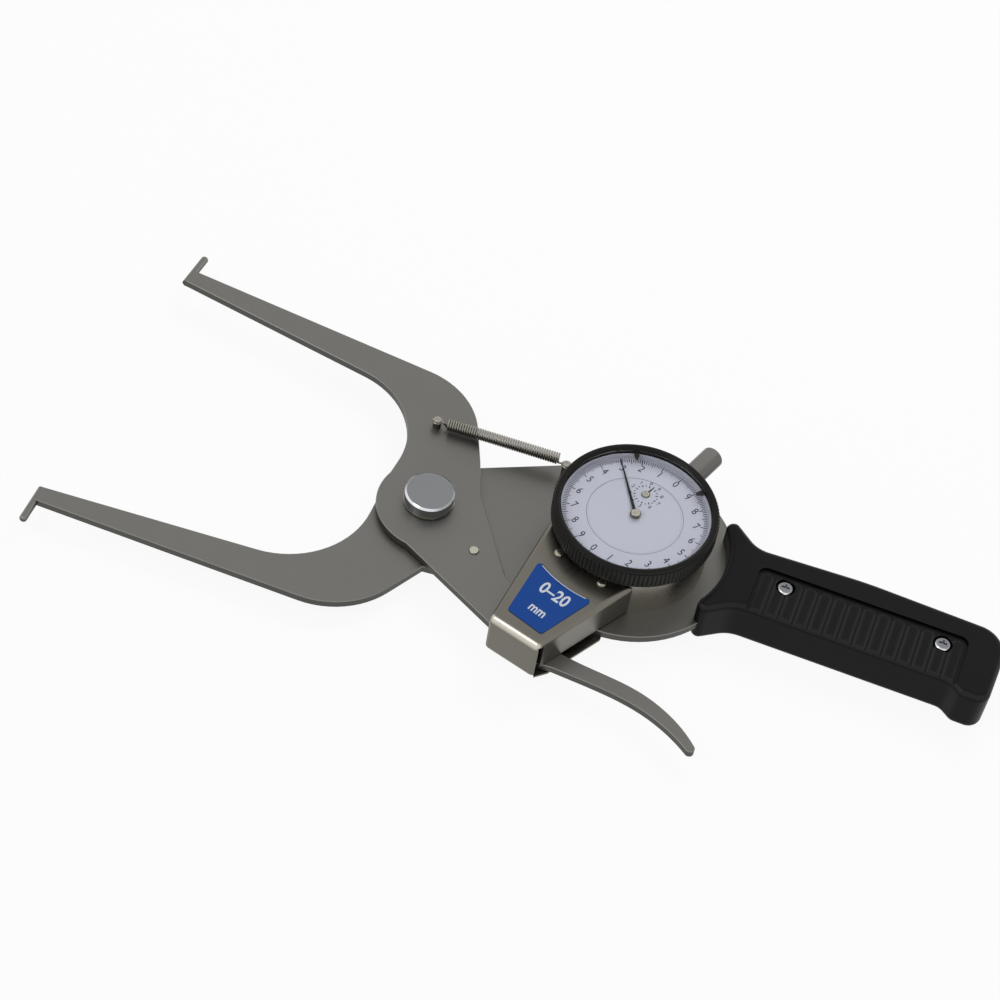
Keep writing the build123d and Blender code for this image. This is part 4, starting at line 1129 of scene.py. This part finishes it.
@dataclass
class Bezel:
    """Knurled black rim with its crystal and the two tolerance markers.

    Attributes:
        centre: axis of the dial.
        radius: outer radius over the flutes.
        bottom: height of the rim's lower side.
        top: height of its upper side.
        flutes: number of flutes.
        flute_depth: depth of each flute.
        flute_power: power that shapes a flute; below 1 its ridges are narrow.
        flute_steps: steps round each flute.
        band_start: heights above the lower side where the knurled band begins and where it is full.
        band_end: depths below the upper side where it is last full and where it has ended.
        lip_bore: radius of the opening over the crystal.
        lip_flare: how much wider the opening is at its top.
        bore: radius of the bore that holds the crystal.
        face_radius: radius of the bore that holds the face.
        skirt_bore: radius of the bore that runs on the case, and of the markers' groove.
        face_height: height of the step under the face.
        crystal_bottom: height of the crystal's lower side.
        crystal_top: height of the lip that holds the crystal down.
        crystal_play: room round the crystal.
        crystal_drop: how far its edge lies below the lip.
        dome_rise: how much its middle stands above its edge.
        dome_steps: points from its edge to its middle.
        groove_bottom: height of the lower side of the markers' groove.
        groove_top: height of its upper side.
        spacer_width: width of the pale ring that holds the face down.
        spacer_lift: height of its lower side above the step under the face.
        spacer_drop: how far its upper side lies below the markers' groove.
        spacer_play: room round it.
    """

    centre: tuple[float, float] = DIAL_AXIS
    radius: float = 28.6
    bottom: float = 11.2
    top: float = 19.4
    flutes: int = 116
    flute_depth: float = 0.45
    flute_power: float = 0.5
    flute_steps: int = 8
    band_start: tuple[float, float] = (0.7, 0.9)
    band_end: tuple[float, float] = (1.3, 1.0)
    lip_bore: float = 25.8
    lip_flare: float = 1.0
    bore: float = 26.1
    face_radius: float = 25.9
    skirt_bore: float = 26.6
    face_height: float = 14.2
    crystal_bottom: float = 17.8
    crystal_top: float = 18.5
    crystal_play: float = 0.02
    crystal_drop: float = 0.05
    dome_rise: float = 0.2
    dome_steps: int = 14
    groove_bottom: float = 16.7
    groove_top: float = 17.5
    spacer_width: float = 0.5
    spacer_lift: float = 0.3
    spacer_drop: float = 0.05
    spacer_play: float = 0.01

    def rim(self) -> Surface:
        """Turned profile whose outer side is pushed in by the flutes: the radius drops by
        flute_depth * (1 - |cos(flutes * a / 2)| ** flute_power) where the height lies in the knurled band.

        Returns:
            Surface of the rim.
        """
        plain = self.radius - self.flute_depth
        profile = rounded(
            [
                (self.skirt_bore, self.bottom, 0),
                (plain, self.bottom, 0.3),
                (plain, self.bottom + self.band_start[0], 0),
                (self.radius, self.bottom + self.band_start[1], 0.1),
                (self.radius, (self.bottom + self.top) / 2, 0),
                (self.radius, self.top - self.band_end[0], 0.1),
                (plain, self.top - self.band_end[1], 0),
                (plain, self.top, 0.5),
                (self.lip_bore + self.lip_flare, self.top, 0.25),
                (self.lip_bore, self.crystal_top, 0),
                (self.bore, self.crystal_top, 0),
                (self.bore, self.groove_top, 0),
                (self.skirt_bore, self.groove_top, 0),
                (self.skirt_bore, self.groove_bottom, 0),
                (self.face_radius, self.groove_bottom, 0),
                (self.face_radius, self.face_height, 0),
                (self.skirt_bore, self.face_height, 0),
            ],
            4,
        )
        columns = self.flutes * self.flute_steps
        wave = 1 - np.abs(np.cos(self.flutes * full_turn(columns)[:, None] / 2)) ** self.flute_power
        share = np.clip((profile[:, 0] - plain) / self.flute_depth, 0, 1)
        return Surface().lathe(profile, self.centre, columns, self.flute_depth * wave * share)

    def crystal(self) -> Surface:
        """Disc whose upper side is a dome: its height drops by dome_rise * (r / bore) ** 2.

        Returns:
            Surface of the crystal.
        """
        edge = self.bore - self.crystal_play
        radius = np.linspace(edge, 0, self.dome_steps)
        height = self.crystal_top - self.crystal_drop + self.dome_rise * (1 - (radius / self.bore) ** 2)
        base = np.array([(0, self.crystal_bottom), (edge, self.crystal_bottom)])
        return Surface().lathe(np.concatenate([base, np.stack([radius, height], -1)]), self.centre)

    def spacer(self) -> Surface:
        """Flat pale ring on the face's rim, with one corner rounded.

        Returns:
            Surface of the ring.
        """
        low, high = self.face_height + self.spacer_lift, self.groove_bottom - self.spacer_drop
        outer, inner = self.face_radius - self.spacer_play, self.face_radius - self.spacer_width
        profile = rounded([(outer, low, 0), (outer, high, 0), (inner, high, 0.1), (inner, low, 0)])
        return Surface().lathe(profile, self.centre)

    def build(self) -> None:
        """Builds the rim, the crystal and the ring under it, and dresses the markers."""
        self.rim().piece("bezel_rim", BLACK, Body.BEZEL, ("bezel_ring",))
        self.crystal().piece("crystal_domed", CRYSTAL, Body.BEZEL, ("crystal",))
        self.spacer().piece("face_spacer", FACE, Body.BEZEL)
        dress(BLACK, "tolerance_marker_a", "tolerance_marker_b")


@dataclass(frozen=True)
class Scale:
    """One printed scale: radial marks and plain figures round a centre.

    Attributes:
        name: how the names of its two pieces begin.
        body: body that it rides on.
        centre: its centre, in plan.
        zero: angle of its first mark, in degrees.
        marks: number of marks.
        ranks: step between marks of one length, their inner radius and width; the first that fits holds.
        outer: radius where all marks end.
        figures: number of figures.
        figure_radius: radius that their middles lie on.
        figure_size: size of the figures.
        condense: width of the figures against their usual width.
        circles: radius and width of each printed circle.
    """

    name: str
    body: Body
    centre: tuple[float, float]
    zero: float
    marks: int
    ranks: tuple[tuple[int, float, float], ...]
    outer: float
    figures: int
    figure_radius: float
    figure_size: float
    condense: float = 1.0
    circles: tuple[tuple[float, float], ...] = ()

    def build(self, low: float, high: float, turn: float) -> None:
        """Prints the marks, each at the zero's angle plus so many equal steps, and the figures.

        Args:
            low: height of the print's lower side.
            high: height of its upper side.
            turn: turn of every figure, in degrees.
        """
        index = np.arange(self.marks)
        fits = [index % every == 0 for every, _, _ in self.ranks]
        inner = np.select(fits, [start for _, start, _ in self.ranks])
        width = np.select(fits, [width for _, _, width in self.ranks])
        angle = np.radians(self.zero) + index * 2 * np.pi / self.marks
        ray = np.stack([np.cos(angle), np.sin(angle)], -1)
        centre = np.array(self.centre)
        marks = Surface().strips(centre + ray * inner[:, None], centre + ray * self.outer, width, low, high)
        for radius, line in self.circles:
            inside, outside = radius - line / 2, radius + line / 2
            ring = np.array([(inside, low), (outside, low), (outside, high), (inside, high)])
            marks.lathe(ring, self.centre)
        marks.piece(f"{self.name}_marks", INK, self.body)
        lettering = Lettering(low, high - low)
        for step in range(self.figures):
            at = polar(self.figure_radius, self.zero + 360 / self.figures * step, self.centre)
            lettering.write(str(step % 10), self.figure_size, at, turn, self.condense)
        lettering.piece(f"{self.name}_numbers", INK, self.body)


@dataclass
class Dial:
    """Printed face: the main scale turns with the bezel, and the counter's small one stands still.

    Attributes:
        face_top: height of the printed side.
        print_depth: thickness of the print.
        main: the main scale, whose zero all figures stand upright to.
        counter: the counter's scale.
    """

    face_top: float = 14.5
    print_depth: float = 0.03
    main: Scale = Scale(
        "main_scale", Body.BEZEL, DIAL_AXIS, zero=66.0, marks=200,
        ranks=((10, 22.5, 0.3), (5, 23.0, 0.24), (1, 23.6, 0.24)), outer=25.1,
        figures=20, figure_radius=21.0, figure_size=4.3, condense=0.8, circles=((16.65, 0.11),),
    )
    counter: Scale = Scale(
        "counter_scale", Body.FRAME, COUNTER_AXIS, zero=COUNTER_ANGLE, marks=20,
        ranks=((2, 3.4, 0.34), (1, 3.8, 0.34)), outer=4.3,
        figures=10, figure_radius=5.5, figure_size=2.1,
    )

    def build(self) -> None:
        """Dresses the face and prints both scales."""
        dress(FACE, "dial_face", "counter_face")
        for scale in (self.main, self.counter):
            scale.build(self.face_top, self.face_top + self.print_depth, self.main.zero - 90)


@dataclass(frozen=True)
class Pointer:
    """One pointer: a tapered blade and a turned hub.

    Attributes:
        node: CAD node that it stands for, and how the names of its two pieces begin.
        body: body that it rides on.
        centre: axis that it turns on.
        turn: direction of the blade, in degrees.
        root: half the blade's width at the hub.
        tip: half its width at the tip.
        length: its length from the axis.
        blade_bottom: height of its lower side.
        hub_radius: radius of the hub.
        hub_bottom: height of the hub's lower side.
        hub_top: height of its upper side.
        blade_thickness: thickness of the blade.
        blade_edge: radius of its edges.
        shoulder: radius of the hub's rounded shoulder, as a part of the hub's.
        dimple: radius of the hub's dimple at its floor, as a part of the hub's.
        dimple_depth: depth of that dimple.
    """

    node: str
    body: Body
    centre: tuple[float, float]
    turn: float
    root: float
    tip: float
    length: float
    blade_bottom: float
    hub_radius: float
    hub_bottom: float
    hub_top: float
    blade_thickness: float = 0.2
    blade_edge: float = 0.03
    shoulder: float = 0.35
    dimple: float = 0.25
    dimple_depth: float = 0.15

    def build(self) -> None:
        """Builds the blade, turned to its direction, and the hub, rounded at its top and at the dimple."""
        flat = np.array(
            [(0, -self.root), (self.length, -self.tip), (self.length, self.tip), (0, self.root)]
        )
        cosine, sine = polar(1, self.turn)
        plan = np.array(self.centre) + flat @ np.array([[cosine, sine], [-sine, cosine]])
        top = self.blade_bottom + self.blade_thickness
        blade = Surface().plate(plan, self.blade_bottom, top, self.blade_edge)
        blade.piece(f"{self.node}_blade", BLUED, self.body, (self.node,))
        radius, floor = self.hub_radius, self.hub_top - self.dimple_depth
        profile = rounded(
            [
                (0, self.hub_bottom, 0),
                (radius, self.hub_bottom, 0.05),
                (radius, self.hub_top, radius * self.shoulder),
                (radius * self.shoulder, self.hub_top, 0.1),
                (radius * self.dimple, floor, 0.05),
                (0, floor, 0),
            ]
        )
        Surface().lathe(profile, self.centre, HUB_TURN).piece(f"{self.node}_hub", BRASS, self.body)


@dataclass
class Pointers:
    """Long pointer and counter pointer.

    Attributes:
        main: the long pointer.
        counter: the counter's pointer.
    """

    main: Pointer = Pointer(
        "main_pointer", Body.POINTER, DIAL_AXIS, turn=120.0, root=0.6, tip=0.15, length=24.6,
        blade_bottom=15.2, hub_radius=1.9, hub_bottom=15.2, hub_top=16.4,
    )
    counter: Pointer = Pointer(
        "counter_pointer", Body.COUNTER, COUNTER_AXIS, turn=68.0, root=0.35, tip=0.1, length=4.6,
        blade_bottom=14.67, hub_radius=1.5, hub_bottom=14.65, hub_top=15.2,
    )

    def build(self) -> None:
        """Builds both pointers."""
        self.main.build()
        self.counter.build()


@dataclass
class Cover:
    """Bent sheet over the plunger, its screws and the range label.

    Attributes:
        top: height of the sheet's upper side.
        screws: places of the two screws in its top.
        screw_radius: radius of their heads.
        screw_rise: height of their heads.
        stop_rivet: place of the rivet in the jaw.
        rivet_seat: height of the jaw's upper side.
        rivet_radius: radius of the rivet's head.
        rivet_rise: height of the rivet's head.
        head_rim: height of a head's upright rim, as a part of the head's height.
        head_steps: points on the rounded side of a head.
        centre: axis of the dial.
        label_arc: radius of the label's side along the dial.
        label_ends: where that side's right and left corners would be, if it were straight.
        label_foot: the two corners away from the dial.
        label_corner: radius of all four corners.
        label_trim: angle of the arc that each rounded corner takes, in degrees.
        label_thickness: thickness of the label.
        label_edge: radius of its edges.
        line_offset: how far the printed line lies outside the label's arc.
        line_width: width of that line.
        line_trim: angle that is left off at each of its ends, in degrees.
        arc_steps: points on the arc and on the line.
        words: each word with its size and its middle.
        words_turn: turn of the words, in degrees.
        words_condense: width of their letters against the usual width.
        words_weight: how much their strokes are thickened, as a part of their size.
        print_depth: thickness of the print.
    """

    top: float = 10.0
    screws: tuple[tuple[float, float], ...] = ((50.05, -10.84), (67.38, -16.85))
    screw_radius: float = 1.65
    screw_rise: float = 1.05
    stop_rivet: tuple[float, float] = polar(25.9, -32.5)
    rivet_seat: float = 0.0
    rivet_radius: float = 1.75
    rivet_rise: float = 0.55
    head_rim: float = 0.25
    head_steps: int = 10
    centre: tuple[float, float] = DIAL_AXIS
    label_arc: float = 37.3
    label_ends: tuple[tuple[float, float], ...] = ((67.05, -25.0), (45.15, -16.5))
    label_foot: tuple[tuple[float, float], ...] = ((42.3, -40.4), (55.9, -45.2))
    label_corner: float = 1.2
    label_trim: float = 3.0
    label_thickness: float = 0.3
    label_edge: float = 0.06
    line_offset: float = 0.35
    line_width: float = 0.3
    line_trim: float = 3.5
    arc_steps: int = 24
    words: tuple[tuple[str, float, tuple[float, float]], ...] = (
        ("0–20", 7.0, (54.6, -28.2)),
        ("mm", 5.2, (51.6, -36.6)),
    )
    words_turn: float = -18.5
    words_condense: float = 0.8
    words_weight: float = 0.022
    print_depth: float = 0.03

    def head(
        self, name: str, at: tuple[float, float], radius: float, bottom: float, rise: float, body: Body
    ) -> None:
        """Domed head: an upright rim, then a quarter of an ellipse up to the top.

        Args:
            name: name of the piece.
            at: its axis.
            radius: radius of the head.
            bottom: height of its lower side.
            rise: height of the head.
            body: body that it rides on.
        """
        angle = np.linspace(0, np.pi / 2, self.head_steps)
        rim = rise * self.head_rim
        curve = np.stack([radius * np.cos(angle), bottom + rim + (rise - rim) * np.sin(angle)], -1)
        profile = np.concatenate([[(0, bottom), (radius, bottom)], curve])
        Surface().lathe(profile, at, SMALL_TURN).piece(name, BRASS, body)

    def label_side(self, radius: float, trim: float) -> np.ndarray:
        """Side of the label along the dial: points on a circle round the dial, from right to left.

        Args:
            radius: radius of the circle.
            trim: angle that is left off at each end, in degrees.

        Returns:
            Points of the arc.
        """
        first, last = (polar_angle(end, self.centre) for end in self.label_ends)
        angle = np.radians(np.linspace(first - trim, last + trim, self.arc_steps))
        return np.array(self.centre) + radius * np.stack([np.cos(angle), np.sin(angle)], -1)

    def label_outline(self) -> np.ndarray:
        """Label in plan: two sides, an end and an arc round the dial, all four corners rounded.

        Returns:
            Points of the outline, anticlockwise.
        """
        whole = self.label_side(self.label_arc, 0.0)
        arc = [(x, y, 0.0) for x, y in self.label_side(self.label_arc, self.label_trim)]
        left, right, *near = ((x, y, self.label_corner) for x, y in (whole[-1], whole[0], *self.label_foot))
        return rounded([*near, right, *arc, left], 6)

    def build(self) -> None:
        """Dresses the cover and builds the heads of its screws and rivet, the label and its print."""
        dress(SHEET, "cover_shell")
        dress(BRASS, "cover_screws", "stop_rivet")
        for number, at in enumerate(self.screws):
            name = f"cover_screw_head_{number}"
            self.head(name, at, self.screw_radius, self.top, self.screw_rise, Body.FRAME)
        self.head(
            "stop_rivet_head", self.stop_rivet, self.rivet_radius, self.rivet_seat, self.rivet_rise, Body.JAW
        )
        bottom, top = self.top, self.top + self.label_thickness
        label = Surface().plate(self.label_outline(), bottom, top, self.label_edge)
        label.piece("range_label_print", BLUE, Body.FRAME, ("range_label",))
        lettering = Lettering(top, self.print_depth, self.words_weight)
        for word, size, at in self.words:
            lettering.write(word, size, at, self.words_turn, self.words_condense)
        lettering.piece("range_label_figures", WHITE, Body.FRAME)
        path = self.label_side(self.label_arc + self.line_offset, self.line_trim)
        width = np.full(len(path) - 1, self.line_width)
        line = Surface().strips(path[:-1], path[1:], width, top, top + self.print_depth)
        line.piece("range_label_line", WHITE, Body.FRAME)


@dataclass
class Grip:
    """Two moulded halves of the grip and their screws, whose shapes are the CAD's."""

    def build(self) -> None:
        """Dresses the halves and the screws."""
        dress(PLASTIC, "front_grip", "rear_grip")
        dress(CHROME, "grip_screws")


@dataclass(frozen=True)
class Lamp:
    """Square soft lamp that looks at the gauge.

    Attributes:
        name: its name.
        at: its place, in metres.
        size: its side, in metres.
        power: its power, in watts.
        mirrored: whether metal and the crystal show the lamp itself.
    """

    name: str
    at: tuple[float, float, float]
    size: float
    power: float
    mirrored: bool

    def build(self) -> None:
        """Adds the lamp to the scene."""
        data = bpy.data.lights.new(self.name, "AREA")
        data.size = self.size
        data.energy = self.power
        lamp = add_object(self.name, data)
        lamp.location = self.at
        lamp.rotation_euler = (-Vector(self.at)).to_track_quat("-Z", "Y").to_euler()
        lamp.visible_glossy = lamp.visible_transmission = self.mirrored


@dataclass
class Studio:
    """Camera fitted to the photograph, lamps and floor.

    Attributes:
        elevation: height of the camera above the horizon, in degrees.
        roll: roll of the camera, in degrees.
        turn: turn of the gauge on the floor, in degrees.
        focal_pixels: focal length, in pixels of the photograph.
        frame_pixels: width of the photograph.
        pivot_pixel: where the pivot shows in the photograph.
        distance: distance from the camera to the pivot.
        sensor: width of the camera's sensor.
        room_light: strength of the world's light on the gauge.
        floor_half: half the floor's side, in metres.
        floor_height: height of the floor, in metres; a hair below the gauge.
        floor_colour: linear colour of the floor where it takes the shadow.
        floor_white: how much of the floor that the camera sees is plain white, the rest being shadow.
        lamps: the lamps.
    """

    elevation: float = 49.95
    roll: float = 10.14
    turn: float = 12.2
    focal_pixels: float = 2600.0
    frame_pixels: float = 1000.0
    pivot_pixel: tuple[float, float] = (428.8, 500.6)
    distance: float = 895.0
    sensor: float = 36.0
    room_light: float = 0.45
    floor_half: float = 2.5
    floor_height: float = -0.0003
    floor_colour: tuple[float, float, float, float] = (0.9, 0.9, 0.9, 1)
    floor_white: float = 0.92
    lamps: tuple[Lamp, ...] = (
        Lamp("key_lamp", at=(0.15, 0.65, 0.85), size=0.45, power=3.6, mirrored=False),
        Lamp("fill_lamp", at=(-0.5, -0.5, 0.9), size=0.3, power=1.6, mirrored=True),
    )

    def camera(self) -> None:
        """Makes the camera: its axes come from the elevation, roll and turn, and its place puts the pivot
        on its pixel."""
        roll, rise, turn = (math.radians(angle) for angle in (self.roll, self.elevation, self.turn))
        rolled = np.array(
            [[math.cos(roll), -math.sin(roll), 0], [math.sin(roll), math.cos(roll), 0], [0, 0, 1]]
        )
        right = rolled @ [1, 0, 0]
        away = rolled @ [0, -math.sin(rise), math.cos(rise)]
        up = rolled @ [0, -math.cos(rise), -math.sin(rise)]
        along = math.cos(turn) * right - math.sin(turn) * away
        across = math.sin(turn) * right + math.cos(turn) * away
        axes = np.column_stack([along, across, up])
        offset = (np.array(self.pivot_pixel) - self.frame_pixels / 2) * self.distance / self.focal_pixels
        rows = np.array([axes[0], -axes[1], -axes[2]])
        matrix = Matrix(rows.T.tolist()).to_4x4()
        matrix.translation = packed(-axes.T @ np.array([*offset, self.distance]))
        data = bpy.data.cameras.new("camera")
        data.sensor_width = self.sensor
        data.lens = self.focal_pixels / self.frame_pixels * self.sensor
        camera = add_object("camera", data)
        camera.matrix_world = matrix
        bpy.context.scene.camera = camera

    def seen(self, tree: bpy.types.NodeTree) -> bpy.types.NodeSocket:
        """Adds nodes that give 1 to camera, transmission and glossy rays, and 0 to the light on the gauge.

        Args:
            tree: node tree of the world or the floor.

        Returns:
            Socket that carries the value.
        """
        rays = add_node(tree, "ShaderNodeLightPath").outputs
        value = rays["Is Camera Ray"]
        for ray in ("Is Transmission Ray", "Is Glossy Ray"):
            value = add_node(tree, "ShaderNodeMath", {0: value, 1: rays[ray]}, operation="MAXIMUM").outputs[0]
        return value

    def world(self) -> None:
        """White to the camera, to reflections and through the crystal, and a plain level of light."""
        world = bpy.data.worlds.new("studio")
        tree = bare_tree(world)
        level = add_node(
            tree, "ShaderNodeMapRange", {"Value": self.seen(tree), "To Min": self.room_light, "To Max": 1.0}
        ).outputs["Result"]
        light = add_node(tree, "ShaderNodeBackground", {"Color": (1, 1, 1, 1), "Strength": level})
        add_node(tree, "ShaderNodeOutputWorld", {"Surface": light.outputs["Background"]})
        bpy.context.scene.world = world

    def floor(self) -> None:
        """Pale floor under the gauge, that keeps a soft part of the shadow and shows white to the camera."""
        half, height = self.floor_half, self.floor_height
        mesh = bpy.data.meshes.new("floor")
        corners = [(x * half, y * half, height) for x, y in ((-1, -1), (1, -1), (1, 1), (-1, 1))]
        mesh.from_pydata(corners, [], [(0, 1, 2, 3)])
        floor = add_object("floor", mesh)
        material = bpy.data.materials.new("pale_paper_floor")
        tree = bare_tree(material)
        share = add_node(
            tree, "ShaderNodeMath", {0: self.seen(tree), 1: self.floor_white}, operation="MULTIPLY"
        ).outputs[0]
        matt = add_node(tree, "ShaderNodeBsdfDiffuse", {"Color": self.floor_colour}).outputs["BSDF"]
        white = add_node(tree, "ShaderNodeEmission", {"Color": (1, 1, 1, 1), "Strength": 1.0})
        mixed = add_node(tree, "ShaderNodeMixShader", {0: share, 1: matt, 2: white.outputs["Emission"]})
        add_node(tree, "ShaderNodeOutputMaterial", {"Surface": mixed.outputs["Shader"]})
        mesh.materials.append(material)

    def build(self) -> None:
        """Builds camera, world, floor and lamps."""
        bpy.context.scene.view_settings.view_transform = "Standard"
        self.camera()
        self.world()
        self.floor()
        for lamp in self.lamps:
            lamp.build()


def main() -> None:
    """Builds the gauge's sub-assemblies in order."""
    logging.basicConfig(level=logging.INFO, format="%(name)s: %(message)s")
    for assembly in (Studio, Jaws, Pivot, ReturnSpring, Housing, Bezel, Dial, Pointers, Cover, Grip):
        log.info("building %s", assembly.__name__)
        assembly().build()
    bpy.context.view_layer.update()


if __name__ == "__main__":
    main()
